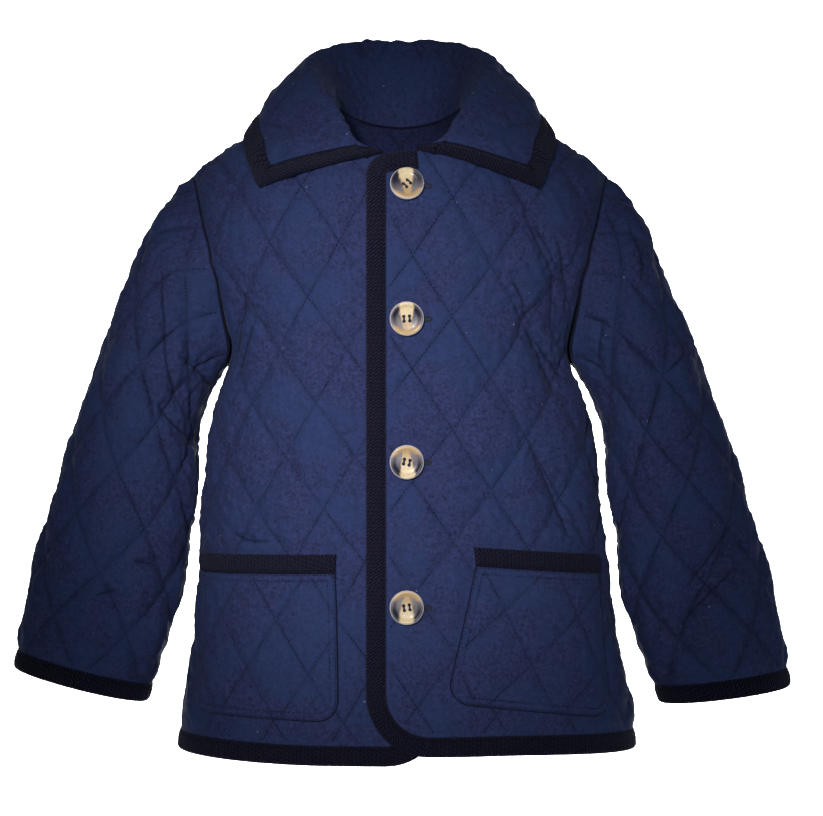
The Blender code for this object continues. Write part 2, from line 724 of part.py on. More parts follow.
def add_piece(name, points, faces, look):
    """A named mesh from points in millimetres, its faces turned outwards."""
    points = np.asarray(points) * MM
    mesh = bpy.data.meshes.new(name)
    mesh.from_pydata(points.tolist(), [], [list(map(int, face)) for face in faces])
    form = bmesh.new()
    form.from_mesh(mesh)
    bmesh.ops.recalc_face_normals(form, faces=form.faces)
    if form.calc_volume(signed=True) < 0:
        bmesh.ops.reverse_faces(form, faces=form.faces)
    form.to_mesh(mesh)
    form.free()
    mesh.shade_smooth()
    mesh.set_sharp_from_angle(angle=math.radians(50))
    mesh.materials.append(look)
    piece = bpy.data.objects.new(name, mesh)
    JACKET.objects.link(piece)
    return piece


def between_skins(outer, faces, border, inner, inner_faces, inner_border):
    """Points and faces of a closed wall: two skins, and a rim between their borders."""
    count = len(outer)
    points = np.concatenate([outer, inner])
    closed = [tuple(face) for face in faces]
    closed += [tuple(count + face[::-1]) for face in inner_faces]
    size = len(border)
    for index in range(size):
        after = (index + 1) % size
        closed.append((border[after], border[index], count + inner_border[index]))
        closed.append((border[after], count + inner_border[index], count + inner_border[after]))
    return points, closed


class Form:
    """A form that cloth is laid on: its points, its outward normals and how far the cloth stands off it."""

    def __init__(self, piece, place, outward, lift=None, covered=lambda across: across > np.inf):
        self.piece = piece
        self.place = place
        self.outward = outward
        self.lift = lift
        self.covered = covered

    def laid(self, flat, rise):
        """Points a given rise over the cloth's own level, with the form's normals."""
        base = self.place(flat)
        normals = normals_on(self.place, flat) * self.outward
        total = rise + fold_rise(self.piece, base)
        if self.lift is not None:
            total = total + self.lift(flat)
        return base + normals * total[:, None], normals


def quilted_wall(name, form, outline, look, seams=None, patches=()):
    """A padded wall over an outline. seams moves points of its edge, or turns its rim, to meet a neighbour."""
    patch_points = [quilt_points(patch["piece"], patch["loop"], OUTER_CUTS, POCKET_CLEAR) for patch in patches]
    loops = [outline] + [patch["loop"] for patch in patches]
    free = quilt_points(form.piece, outline, OUTER_CUTS, OUTER_CLEAR, loops[1:])
    flat, faces = triangles(loops, np.concatenate([*patch_points, free]))
    room = distance_to(flat, outline)
    for patch in loops[1:]:
        room = np.minimum(room, np.where(inside(flat, patch), 0, distance_to(flat, patch)))
    for x, y in buttons_on(form.piece):
        from_button = np.hypot(flat[:, 0] - x, flat[:, 1] - y) - BUTTON_SEAT
        room = np.minimum(room, np.maximum(from_button, 0))
    room = np.where(form.covered(flat[:, 0]), 0, room)
    outer, normals = form.laid(flat, wadding(form.piece, flat, room))
    count = len(outline)
    rims = normals[:count].copy()
    for index, (point, rim) in (seams or {}).items():
        if point is not None:
            outer[index] = point
        rims[index] = rim
    plain = quilt_points(form.piece, outline, INNER_CUTS, INNER_CLEAR)
    inner_flat, inner_faces = triangles([outline], plain)
    inner, _ = form.laid(inner_flat, np.full(len(inner_flat), -WALL))
    inner[:count] = outer[:count] - rims * WALL
    border = np.arange(count)
    points, closed = between_skins(outer, faces, border, inner, inner_faces, border)
    add_piece(name, points, closed, look)
    return flat, faces


def patch_wall(name, form, patch, flat, faces, look):
    """A piece sewn on a wall: the wall's own points under it, moved out, and a padded top."""
    loop = patch["loop"]
    keep = inside(flat[faces].mean(axis=1), loop)
    used = np.unique(faces[keep])
    order = np.full(len(flat), -1)
    order[used] = np.arange(len(used))
    local_faces = order[faces[keep]]
    local = flat[used].copy()
    border = []
    for corner, turn_in in zip(loop, inward(np.concatenate([loop[-1:], loop, loop[:1]]))[1:-1]):
        index = int(np.argmin(np.linalg.norm(local - corner, axis=1)))
        border.append(index)
        local[index] = corner + turn_in * GAP / 2
    border = np.array(border)
    rise = patch["rise"](local, distance_to(local, loop))
    top, _ = form.laid(local, GAP + rise)
    bottom, _ = form.laid(local, np.full(len(local), GAP))
    points, closed = between_skins(top, local_faces, border, bottom, local_faces, border)
    add_piece(name, points, closed, look)


def binding_strip(name, form, path, look, trim=None):
    """A folded binding along the edge of a piece, which lies to the left of the path."""
    turn_in = inward(path)
    from_edge = column(BINDING_SECTION, BINDING_SECTION_COLUMNS, "from_edge")
    rise = column(BINDING_SECTION, BINDING_SECTION_COLUMNS, "rise")
    flat = path[:, None] + turn_in[:, None] * from_edge[None, :, None]
    size = len(from_edge)
    flat = flat.reshape(-1, 2)
    if trim is not None:
        flat = trim(flat)
    points, _ = form.laid(flat, np.tile(rise, len(path)))
    closed = [tuple(range(size)), tuple(range(len(points) - 1, len(points) - 1 - size, -1))]
    for station in range(len(path) - 1):
        for index in range(size):
            a, b = station * size + index, station * size + (index + 1) % size
            closed.append((b, a, a + size))
            closed.append((b, a + size, b + size))
    add_piece(name, points, closed, look)


# ---------------------------------------------------------------- fronts and back


def closing_across(up):
    return CLOSING - lean(np.minimum(up, CHEST))


def inside_sides(side):
    """Keeps flat points within the side seams."""

    def trim(flat):
        limit = side_arc(flat[:, 1], side) - GAP / 2
        return np.stack([np.clip(flat[:, 0], -limit, limit), flat[:, 1]], axis=1)

    return trim


def front_edge(hand, hem):
    """Edge of the front on the +X side of its own flat drawing: neck, front edge, lower corner and hem."""
    top = flat_at(0, NECK_FRONT_LOW, -1)[0, 1]
    neck_end = neck_path(NECK_FRONT, -1, EDGE_STEP)[-1]
    edge_top = hand * closing_across(top) - LAP
    low = hem + CORNER_RADIUS
    edge_low = hand * closing_across(low) - LAP
    start = np.array([neck_end, (edge_top + TOP_RADIUS, top)])
    top_corner = arc((edge_top + TOP_RADIUS, top - TOP_RADIUS), TOP_RADIUS, 90, 180, 22)
    low_corner = arc((edge_low + CORNER_RADIUS, low), CORNER_RADIUS, 180, 270, 13)
    heights = np.linspace(top - TOP_RADIUS, low, FRONT_EDGE_POINTS)
    run = np.stack([hand * closing_across(heights) - LAP, heights], axis=1)
    side = side_arc(HEM_SIDE, -1)[0] - GAP / 2
    along = np.linspace(edge_low + CORNER_RADIUS, side, FRONT_HEM_POINTS)
    hem_run = np.stack([along, hem + (HEM_SIDE - hem) * ramp(along, 60, side)], axis=1)
    return joined(resample(start, EDGE_STEP), top_corner, run, low_corner, hem_run)


def shoulder_run(side):
    """Flat points between the ends of the shoulder seam, from the armhole to the neck."""
    x = np.linspace(armhole_end(), NECK_FRONT[0][0], SHOULDER_POINTS)[1:-1]
    return flat_at(x, shoulder_height(x), side)


def armhole_end():
    """Distance out of the shoulder point."""
    return out_at(0, ARMHOLE_FRONT[-1][1], -1)


def half_outline(side, inset, rows, neck_rows):
    """Outline from a hem inset up the side, round the armhole, along the shoulder and down the neck."""
    inset = inset[inset[:, 0] < side_arc(inset[:, 1], side) - EDGE_STEP / 2]
    side_up = np.linspace(HEM_SIDE + BINDING + GAP, rows[0][1], SIDE_POINTS)
    seam = np.stack([side_arc(side_up, side) - GAP / 2, side_up], axis=1)[:-1]
    hole = armhole(rows, side, 1)
    hole[0, 0] -= GAP / 2
    ridge = shoulder_run(side)
    neck = neck_path(neck_rows, side, EDGE_STEP)
    outline = joined(inset, seam, hole, ridge, neck)
    first = len(inset) + len(seam)
    last = first + len(hole) - 1
    return outline, np.arange(first, last + 1), np.arange(last, last + len(ridge) + 2)


def body_seams(side, hand, hole, ridge, rims):
    """Points and rims along an armhole, whose rims lean with the sleeve, and along a shoulder seam."""
    seams = {int(index): (None, rim) for index, rim in zip(hole, rims)}
    x = hand * np.linspace(armhole_end(), NECK_FRONT[0][0], len(ridge))
    points = np.stack([x, np.full(len(x), side * GAP / 2), shoulder_height(np.abs(x))], axis=1)
    for index, point, normal in zip(ridge, points, ridge_normal(x)):
        rim = seams[int(index)][1] if int(index) in seams else normal
        seams[int(index)] = (point, rim)
    return seams


def mirrored(points):
    """The same outline on the other hand, still counter-clockwise."""
    return (points * (-1, 1))[::-1]


def pocket_loops(row):
    """Outlines of a pocket and of its binding, counter-clockwise, as drawn on the +X side."""
    inner, inner_low, outer = np.abs(row[1:4])
    inner_top, outer_top, inner_bottom, outer_bottom = row[4:]
    radius = POCKET_RADIUS
    line = np.array([(outer, outer_top - POCKET_BINDING), (inner, inner_top - POCKET_BINDING)])
    line = resample(line, EDGE_STEP)
    inner_corner = arc((inner_low + radius, inner_bottom + radius), radius, 180, 270, 22)
    outer_corner = arc((outer - radius, outer_bottom + radius), radius, 270, 360, 22)
    base = resample(np.stack([inner_corner[-1], outer_corner[0]]), EDGE_STEP)
    outer_side = resample(np.stack([outer_corner[-1], line[0]]), EDGE_STEP)
    inner_side = resample(np.stack([line[-1], inner_corner[0]]), EDGE_STEP)
    pocket = joined(inner_corner, base, outer_corner, outer_side, line, inner_side)[:-1]
    crest = resample(np.array([(outer + 1, outer_top), (inner - 1, inner_top)]), EDGE_STEP)
    band = joined(line[::-1], crest)
    return pocket, band


def buttons_on(piece):
    """Flat places of the buttons on a panel."""
    if piece != "front_left":
        return []
    return [tuple(flat_at(CLOSING - lean(min(z, CHEST)), z, -1)[0]) for z in BUTTON_HEIGHTS]


def front_piece(hand):
    """A front with its pocket, the pocket's binding and the binding of its edge and hem."""
    wearer = "left" if hand > 0 else "right"
    name = f"front_{wearer}"
    hem = HEM_UPPER_FRONT if hand > 0 else HEM_LOWER_FRONT
    form = Form(name, on_body(-1), 1, lap_lift(hand), lambda across: hand * across < hand * COVERED[hand])
    edge = front_edge(hand, hem)
    inset = edge + inward(edge) * (BINDING + GAP)
    outline, hole, ridge = half_outline(-1, inset, ARMHOLE_FRONT, NECK_FRONT)
    row = next(row for row in POCKETS if row[0].endswith(wearer))
    pocket, band = pocket_loops(row)
    if hand < 0:
        hole, ridge = len(outline) - 1 - hole, len(outline) - 1 - ridge
        outline, edge, pocket, band = (mirrored(run) for run in (outline, edge, pocket, band))
    seams = body_seams(-1, hand, hole, ridge, ARMHOLES[hand].front_rims)
    patches = (
        {"piece": row[0], "loop": pocket, "rise": pocket_rise(row[0])},
        {"piece": row[0], "loop": band, "rise": band_rise},
    )
    flat, faces = quilted_wall(name, form, outline, CLOTH, seams, patches)
    patch_wall(row[0], form, patches[0], flat, faces, CLOTH)
    patch_wall(f"{row[0]}_binding", form, patches[1], flat, faces, TWILL)
    end = 0 if hand > 0 else -1
    edge[end] += unit(edge[end + hand] - edge[end]) * GAP
    binding_strip(f"front_{wearer}_binding", form, edge, TWILL, inside_sides(-1))


def pocket_rise(piece):
    return lambda flat, room: POCKET_WALL + wadding(piece, flat, room)


def band_rise(flat, room):
    return POCKET_WALL + BAND_RISE * ramp(room, 0, BAND_ROUND)


def back_piece():
    """The back, and the binding of its hem."""
    form = Form("back", on_body(1), -1)
    hem_end = side_arc(HEM_SIDE, 1)[0] - GAP / 2
    along = np.linspace(-hem_end, hem_end, BACK_HEM_POINTS)
    edge = np.stack([along, HEM_BACK + (HEM_SIDE - HEM_BACK) * ramp(np.abs(along), 40, hem_end)], axis=1)
    inset = edge + inward(edge) * (BINDING + GAP)
    middle = len(edge) // 2
    half, right, right_ridge = half_outline(1, inset[middle:], ARMHOLE_BACK, NECK_BACK)
    outline = np.concatenate([half, mirrored(half)[1:-1]])
    last = 2 * len(half) - 2
    seams = {}
    for hand, hole, ridge in ((1, right, right_ridge), (-1, last - right, last - right_ridge)):
        seams.update(body_seams(1, hand, hole, ridge, ARMHOLES[hand].back_rims))
    quilted_wall("back", form, outline, CLOTH, seams)
    binding_strip("back_binding", form, edge, TWILL, inside_sides(1))


# ---------------------------------------------------------------- sleeves


class Armhole:
    """The seam of a sleeve: the rims of both walls along it, and the sleeve's own points."""

    def __init__(self, hand, rows):
        points, normals, middle = armhole_points(hand)
        line, share = rails(rows, hand)
        _, lengths = line(share * np.pi)
        self.share, self.along = share, lengths[:, -1]
        place = on_sleeve(rows, hand)
        near = np.clip(share, 0.01, 1.99)
        across = half_girth(self.along) * (1 - near)
        below = np.stack([across, self.along - 3], axis=1)
        away = unit(place(below) - points)
        sleeve_normals = normals_on(place, below) * -hand
        rims = unit(normals + sleeve_normals)
        half_angle = np.clip((rims * normals).sum(axis=1), 0.8, 1)
        self.rims = rims / half_angle[:, None]
        for index in (0, middle, -1):
            self.rims[index, 1] = 0
        apart = unit(away - (away * rims).sum(axis=1)[:, None] * rims)
        self.points = points + GAP * apart
        tangent = unit(np.gradient(points, axis=0))
        self.points[0] += tangent[0] * GAP / 2
        self.points[-1] -= tangent[-1] * GAP / 2
        self.front_rims = self.rims[: middle + 1]
        self.back_rims = self.rims[middle:][::-1]


def sleeve_piece(hand):
    """A sleeve in one piece, its edges meeting at the underarm, and its cuff's binding."""
    wearer = "left" if hand > 0 else "right"
    rows = SLEEVES[hand]
    form = Form(f"sleeve_{wearer}", on_sleeve(rows, hand), -hand)
    seam = ARMHOLES[hand]
    start = BINDING + GAP
    cuff_half = float(half_girth(start)) - GAP / 2
    cuff = np.stack([np.linspace(-cuff_half, cuff_half, CUFF_POINTS), np.full(CUFF_POINTS, start)], axis=1)
    across = half_girth(seam.along) * (1 - seam.share)
    across[0] -= GAP / 2
    across[-1] += GAP / 2
    cap = np.stack([across, seam.along - GAP], axis=1)
    up = np.linspace(start, cap[0, 1], UNDERARM_POINTS)[1:-1]
    side = np.stack([half_girth(up) - GAP / 2, up], axis=1)
    other = (side * (-1, 1))[::-1]
    outline = np.concatenate([cuff, side, cap, other])
    first = len(cuff) + len(side)
    seams = {first + i: (seam.points[i], seam.rims[i]) for i in range(len(cap))}
    quilted_wall(form.piece, form, outline, CLOTH, seams)
    edge_half = float(half_girth(0)) - GAP / 2
    edge = np.stack([np.linspace(-edge_half, edge_half, CUFF_POINTS), np.zeros(CUFF_POINTS)], axis=1)

    def within_girth(flat):
        limit = half_girth(flat[:, 1]) - GAP / 2
        return np.stack([flat[:, 0] * limit / edge_half, flat[:, 1]], axis=1)

    binding_strip(f"cuff_{wearer}_binding", form, edge, TWILL, within_girth)


# ---------------------------------------------------------------- collar


def collar_piece():
    """The collar from its neck seam over the roll to its edge, and the binding of its ends and edge."""
    form = Form("collar", on_collar, 1)
    clear = BINDING + MITRE_CLEAR
    depth = float(collar_depth(COLLAR_HALF)[0])
    end = resample(np.array([(COLLAR_HALF, 0), (COLLAR_HALF, depth - clear)]), EDGE_STEP / 2)
    along = np.linspace(COLLAR_HALF - clear, 0, COLLAR_EDGE_POINTS)
    outer = np.stack([along, collar_depth(along)], axis=1)
    half = joined(end, [(COLLAR_HALF, depth)], outer)
    edge = np.concatenate([half, mirrored(half)[1:]])
    inset = edge + inward(edge) * (BINDING + COLLAR_GAP)
    corners = inset[[len(end), -len(end) - 1]]
    away = np.linalg.norm(inset[:, None] - corners, axis=2).min(axis=1)
    inset = inset[(away == 0) | (away > EDGE_STEP / 2)]
    seam = resample(np.stack([inset[-1], inset[0]]), EDGE_STEP)[1:-1]
    quilted_wall("collar", form, np.concatenate([inset, seam]), CLOTH)
    binding_strip("collar_binding", form, edge, TWILL)


# ---------------------------------------------------------------- buttons


def button_mesh():
    """A turned button with a raised rim and four holes, its back at the origin."""
    mesh = bpy.data.meshes.new("button_profile")
    points = [(out * MM, 0, height * MM) for out, height in BUTTON_PROFILE]
    mesh.from_pydata(points, [(i, i + 1) for i in range(len(points) - 1)], [])
    blank = bpy.data.objects.new("button_blank", mesh)
    JACKET.objects.link(blank)
    turned = blank.modifiers.new("Screw", "SCREW")
    turned.steps = turned.render_steps = BUTTON_SIDES
    turned.use_merge_vertices = True
    turned.merge_threshold = 1e-5
    cutters = []
    for x, y in ((1, 1), (-1, 1), (-1, -1), (1, -1)):
        bpy.ops.mesh.primitive_cylinder_add(
            vertices=HOLE_SIDES, radius=HOLE_RADIUS * MM, depth=4 * BUTTON_THICKNESS * MM,
            location=(x * HOLE_OFFSET * MM, y * HOLE_OFFSET * MM, 0),
        )
        cutters.append(bpy.context.object)
        hole = blank.modifiers.new("Hole", "BOOLEAN")
        hole.operation = "DIFFERENCE"
        hole.object = cutters[-1]
    bpy.context.view_layer.update()
    made = bpy.data.meshes.new_from_object(blank.evaluated_get(bpy.context.evaluated_depsgraph_get()))
    for helper in (blank, *cutters):
        bpy.data.objects.remove(helper, do_unlink=True)
    made.name = "button"
    made.shade_smooth()
    made.set_sharp_from_angle(angle=math.radians(40))
    made.materials.clear()
    made.materials.append(HORN_LOOK)
    return made


def button_pieces():
    """The buttons, each on the upper front's cloth and turned as it was sewn."""
    mesh = button_mesh()
    form = Form("front_left", on_body(-1), 1, lap_lift(1))
    for number, ((x, y), turn) in enumerate(zip(buttons_on("front_left"), BUTTON_TURNS), start=1):
        point, normal = form.laid(np.array([(x, y)]), np.array([BUTTON_GAP]))
        out = Vector(normal[0])
        right = Vector((0, 0, 1)).cross(out).normalized()
        upright = Matrix((right, out.cross(right), out)).transposed().to_4x4()
        button = bpy.data.objects.new(f"button_{number}", mesh)
        place = Matrix.Translation(Vector(point[0]) * MM)
        button.matrix_world = place @ upright @ Matrix.Rotation(math.radians(turn), 4, "Z")
        JACKET.objects.link(button)


CLOTH = material("navy_quilted_cotton", NAVY, 0.85, 0.3)
TWILL = material("navy_twill_binding", BINDING_NAVY, 0.9, 0.2)
HORN_LOOK = material("horn_resin", HORN, 0.3)

SLEEVES = {1: SLEEVE_LEFT, -1: SLEEVE_RIGHT}
ARMHOLES = {hand: Armhole(hand, rows) for hand, rows in SLEEVES.items()}

for wearer_hand in (1, -1):
    front_piece(wearer_hand)
    sleeve_piece(wearer_hand)
back_piece()
collar_piece()
button_pieces()
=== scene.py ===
"""Looks of the quilted barn jacket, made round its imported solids.

+X is the wearer's left, -Y the front and +Z up. The forms, outlines and named sizes are those of the
solids, in millimetres, and each piece of cloth is laid on them again with far more points: padded
diamonds, folds, puckers, ribbed binding and stitches.
"""

import math

import bmesh
import bpy
import numpy as np
from mathutils import Matrix, Vector
from mathutils.geometry import delaunay_2d_cdt

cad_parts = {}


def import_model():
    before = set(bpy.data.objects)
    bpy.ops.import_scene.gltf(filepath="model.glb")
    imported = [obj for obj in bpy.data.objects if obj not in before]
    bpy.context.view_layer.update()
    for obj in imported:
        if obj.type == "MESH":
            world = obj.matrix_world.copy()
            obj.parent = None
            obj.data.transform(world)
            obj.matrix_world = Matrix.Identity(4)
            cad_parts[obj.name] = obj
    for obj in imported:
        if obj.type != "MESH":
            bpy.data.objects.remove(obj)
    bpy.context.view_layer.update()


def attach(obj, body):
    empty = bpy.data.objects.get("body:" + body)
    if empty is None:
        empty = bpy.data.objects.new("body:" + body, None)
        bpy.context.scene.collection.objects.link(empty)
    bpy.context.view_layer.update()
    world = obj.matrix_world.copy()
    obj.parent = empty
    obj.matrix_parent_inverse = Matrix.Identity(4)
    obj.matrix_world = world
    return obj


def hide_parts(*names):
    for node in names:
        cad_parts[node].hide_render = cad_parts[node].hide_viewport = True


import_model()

MM = 0.001

# Cloth
GAP = 0.3  # between two pieces at a seam
WALL = 2.0  # at a line of quilting
PUFF = 2.6  # rise of the wadding at the middle of a diamond
SEAM_FADE = 11.0  # distance from a seam at which the wadding has its full rise
LAP_LIFT = 2.1  # the upper front stands this much over the form, and the lower front as much under
COVERED = {1: -100.0, -1: -31.0}  # across, where the lower front's wadding is pressed flat
LAP_FLAT = 34.0  # across, where the fronts lie on each other
LAP_END = 78.0  # across, where both are back on the form
LAP_FADE = (-42.0, 0.0)  # up, where the lap ends towards the shoulder seam
BINDING = 12.5  # width of the binding
EDGE_STEP = 3.0  # between points along a seam
OUTER_CUTS = 19  # points along each side of a diamond, outer skin
INNER_CUTS = 6  # the same, inner skin
OUTER_CLEAR = 1.3  # from a piece's edge to its nearest free point, outer skin
INNER_CLEAR = 4.0  # the same, inner skin
POCKET_CLEAR = 1.2  # the same, pockets
CURVE_STEPS = 8  # between two of the points that a curve passes through

# Points along the runs of the outlines
FRONT_EDGE_POINTS = 120
FRONT_HEM_POINTS = 46
BACK_HEM_POINTS = 131
SIDE_POINTS = 90
SHOULDER_POINTS = 36
CUFF_POINTS = 91
UNDERARM_POINTS = 80
COLLAR_EDGE_POINTS = 61

# Body form: rings from the hem up to the chest, then the shoulders as a dome over the chest ring
CHEST = -115.0
RING_POWER = 2.2
BODY_COLUMNS = ("height", "half_width", "front", "back", "lean")
BODY = (
    (-465, 163, 91, 89, 5),
    (-450, 161, 90, 88, 5),
    (-425, 158.5, 89, 87, 5),
    (-394, 151.5, 87, 85, 4.5),
    (-351, 146, 85, 82, 3.5),
    (-309, 142.5, 84, 80, 2),
    (-266, 138.5, 84, 78, 1),
    (-216, 131.5, 84, 77, 0.5),
    (-185, 123, 84.5, 78, 0),
    (-150, 134, 85.5, 81, 0),
    (-115, 147, 86, 85, 0),
)
SHOULDER_COLUMNS = ("out", "height")
SHOULDER = ((0, 13), (20, 8), (43, 0), (80, -14), (114, -28), (136, -41), (147, -50.5))

# Outlines on the body form: the armholes (depth, height) as seen from the side, and the neck
# (out, height) as seen from the front
ARMHOLE_FRONT = (
    (0, -186), (16, -183.5), (29, -174), (36, -159), (41, -141), (45, -124), (43, -106),
    (33, -86), (19, -66), (8, -55), (0, -50),
)
ARMHOLE_BACK = (
    (0, -186), (15, -183.5), (27, -174), (34, -158), (38, -140), (41, -122), (40, -104),
    (31, -84), (18, -65), (8, -54.5), (0, -50),
)
NECK_FRONT = ((43, 0), (42.5, -8), (40, -18), (33, -29), (22, -37), (11, -40.5))
NECK_BACK = ((43, 0), (37, -3), (27, -6.5), (14, -9), (0, -10))
NECK_FRONT_LOW = -42.0
CLOSING = 5.0  # X of the line of buttons
LAP = 27.3  # from that line out to a front's edge
TOP_RADIUS = 15.0
CORNER_RADIUS = 42.0
HEM_SIDE = -454.0
HEM_UPPER_FRONT = -450.0
HEM_LOWER_FRONT = -456.5
HEM_BACK = -455.0
FRONT_HEM_LEVEL = 60.0  # across, from where the hem's height changes to that at the side seam
BACK_HEM_LEVEL = 40.0

# Sleeves: sections from the armhole to the cuff, by their outer and their inner end (x, z), half of
# their depth and the depth of their middle
SLEEVE_POWER = 2.15
SLEEVE_RIGHT = (
    (-170, -79, -131, -193, 47, 0),
    (-187, -114, -138, -205, 51, 0),
    (-201, -151, -142, -223, 51, -1),
    (-215, -189, -144.5, -246, 49, -2),
    (-227, -226, -145.5, -269, 46.5, -3),
    (-238, -262, -147.5, -296, 44, -4),
    (-248, -298, -152, -325, 41.5, -4),
    (-258, -333, -159, -357, 39, -4),
    (-266.5, -367, -169, -389, 37, -4),
    (-271, -391, -177, -415, 36, -4),
    (-272, -398, -179.5, -422, 36, -4),
)
SLEEVE_LEFT = (
    (167, -80, 132, -194, 47, 0),
    (181, -116, 139, -206, 51, 0),
    (198, -152, 144, -225, 51, -1),
    (213, -189, 147.5, -247, 49, -2),
    (227, -227, 149.5, -271, 46.5, -3),
    (238, -262, 153, -297, 44, -4),
    (249, -298, 156, -324, 41.5, -4),
    (258, -334, 161, -354, 39, -4),
    (268.5, -372, 172, -388, 37, -4),
    (274.5, -403, 182, -415, 36, -4),
    (275, -411, 184.5, -423, 36, -4),
)

GIRTH_COLUMNS = ("along", "half_girth")
GIRTH = ((0, 136), (60, 141), (120, 147), (180, 153), (240, 156), (420, 156))

# Collar: stations from the middle of the back to the front edge, on the wearer's left
COLLAR_HALF = 196.0
COLLAR_COLUMNS = (
    "station", "roll_x", "roll_y", "roll_z", "edge_x", "edge_y", "edge_z", "round", "bulge", "lift",
)
COLLAR = (
    (0.00, 0, 60, 53, 0, 76, 8, 6, 3, 1.0),
    (0.18, 30, 56, 53, 43, 73, 5, 6.5, 4, 1.0),
    (0.34, 53, 41, 47, 79, 56, -3, 7, 6, 1.1),
    (0.50, 66, 13, 34, 104, 20, -14, 7, 8, 1.6),
    (0.66, 61, -18, 16, 108.5, -13.5, -22, 6.5, 7, 2.0),
    (0.80, 46, -46, -7, 107.5, -36, -35, 5, 4, 2.4),
    (0.92, 33, -68, -32.5, 101, -55, -52, 2, 0, 2.9),
    (1.00, 22, -72.5, -43, 95, -64.5, -64, 1.5, 0, 3.0),
)
NECK_TUCK = 2.5  # the collar's cloth goes on this far into the neck seam
COLLAR_GAP = 0.8  # from the collar's cloth to its binding, which bends sharply with it
COLLAR_CLEAR = 5.8  # from the body's form out to the collar's fall
COLLAR_RISE = 22.0  # length of cloth over which it gets there from the neck seam
STAND_END = (0.7, 0.8)  # inward and down from the roll, in radii of the roll, where the stand ends
FALL_START = (0.9, 0.5)  # outward and down from it, where the fall starts
MITRE_CLEAR = 5.0  # from the binding's inner edge to the even spacing of points at a collar corner

# Quilting: the piece, a crossing of two lines, and the steps from it to the next crossing, down to the
# right and down to the left, each across and up
QUILT = (
    ("front_left", 62, -194.6, 26.5, -41, -27, -35),
    ("front_right", -80, -247.6, 27, -36, -22, -36),
    ("back", 0, -250, 25, -37, -25, -37),
    ("sleeve_left", 0, 120, 23, -37, -23, -37),
    ("sleeve_right", 0, 120, 23, -37, -23, -37),
    ("collar", 0, 80, 24, -37, -24, -37),
    ("pocket_left", 86, -389, 18, -37, -37, -31),
    ("pocket_right", -88.2, -359.2, 22, -36, -23, -33),
)

# Folds, drawn on the jacket as it is seen from the front or the back: the piece, the side it is seen
# from, both ends (x, z), the width and the rise, which is negative for a trough
FOLDS = (
    ("front_left", -1, 82, -74, 109, -148, 15, -2.2),
    ("front_left", -1, 109, -130, 119, -186, 13, -2.6),
    ("front_left", -1, 86, -156, 117, -210, 13, -3.0),
    ("front_left", -1, 92, -196, 112, -290, 14, -2.0),
    ("front_right", -1, -109, -133, -118, -184, 14, -2.6),
    ("front_right", -1, -70, -120, -100, -168, 18, -1.6),
    ("sleeve_right", -1, -167, -96, -160, -215, 16, -2.4),
    ("sleeve_right", -1, -164, -206, -143, -244, 13, -2.6),
    ("sleeve_right", -1, -186, -318, -168, -330, 13, -2.2),
    ("sleeve_left", -1, 160, -82, 169, -132, 15, 2.0),
    ("sleeve_left", -1, 190, -162, 196, -196, 15, 2.0),
    ("sleeve_left", -1, 240, -290, 196, -348, 13, -2.4),
    ("sleeve_left", -1, 243, -322, 190, -374, 13, -2.0),
    ("sleeve_left", 1, 236, -300, 180, -330, 15, -2.4),
    ("sleeve_right", 1, -236, -300, -180, -326, 15, -2.4),
    ("back", 1, 100, -150, 118, -200, 16, -2.6),
    ("back", 1, -100, -150, -118, -200, 16, -2.6),
    ("back", 1, -84, -400, -70, -440, 16, -1.8),
    ("back", 1, 60, -405, 74, -442, 16, -1.8),
)
FOLD_END = 0.25  # share of a fold's length over which it starts or ends
FOLD_DEPTHS = (-12.0, 6.0)  # towards its side, where a fold starts and where it is whole

# Pockets, across and up on the front they are sewn to: the inner side at the top and at the bottom, the
# outer side, then the heights of the top and of the bottom, each at the inner and the outer side
POCKETS = (
    ("pocket_left", 49, 29, 150, -309, -317, -416, -427),
    ("pocket_right", -46, -46, -162, -314, -316, -427, -425),
)
POCKET_RADIUS = 15.0
POCKET_BINDING = 12.5

# Buttons
BUTTON_HEIGHTS = (-64.7, -154.8, -251.5, -349.5)
BUTTON_TURNS = (45, 4, -12, 8)
BUTTON_THICKNESS = 3.6
BUTTON_SEAT = 15.0  # the cloth is flat this far round a button
BUTTON_GAP = 0.5
BUTTON_SIDES = 72
BUTTON_APART = 40  # between the buttons' places in the horn's pattern, so that no two look alike
HOLE_RADIUS = 1.15
HOLE_SIDES = 20
HOLE_OFFSET = 1.9
HOLE_SQUEEZE = 0.85  # the holes stand closer up and down than across

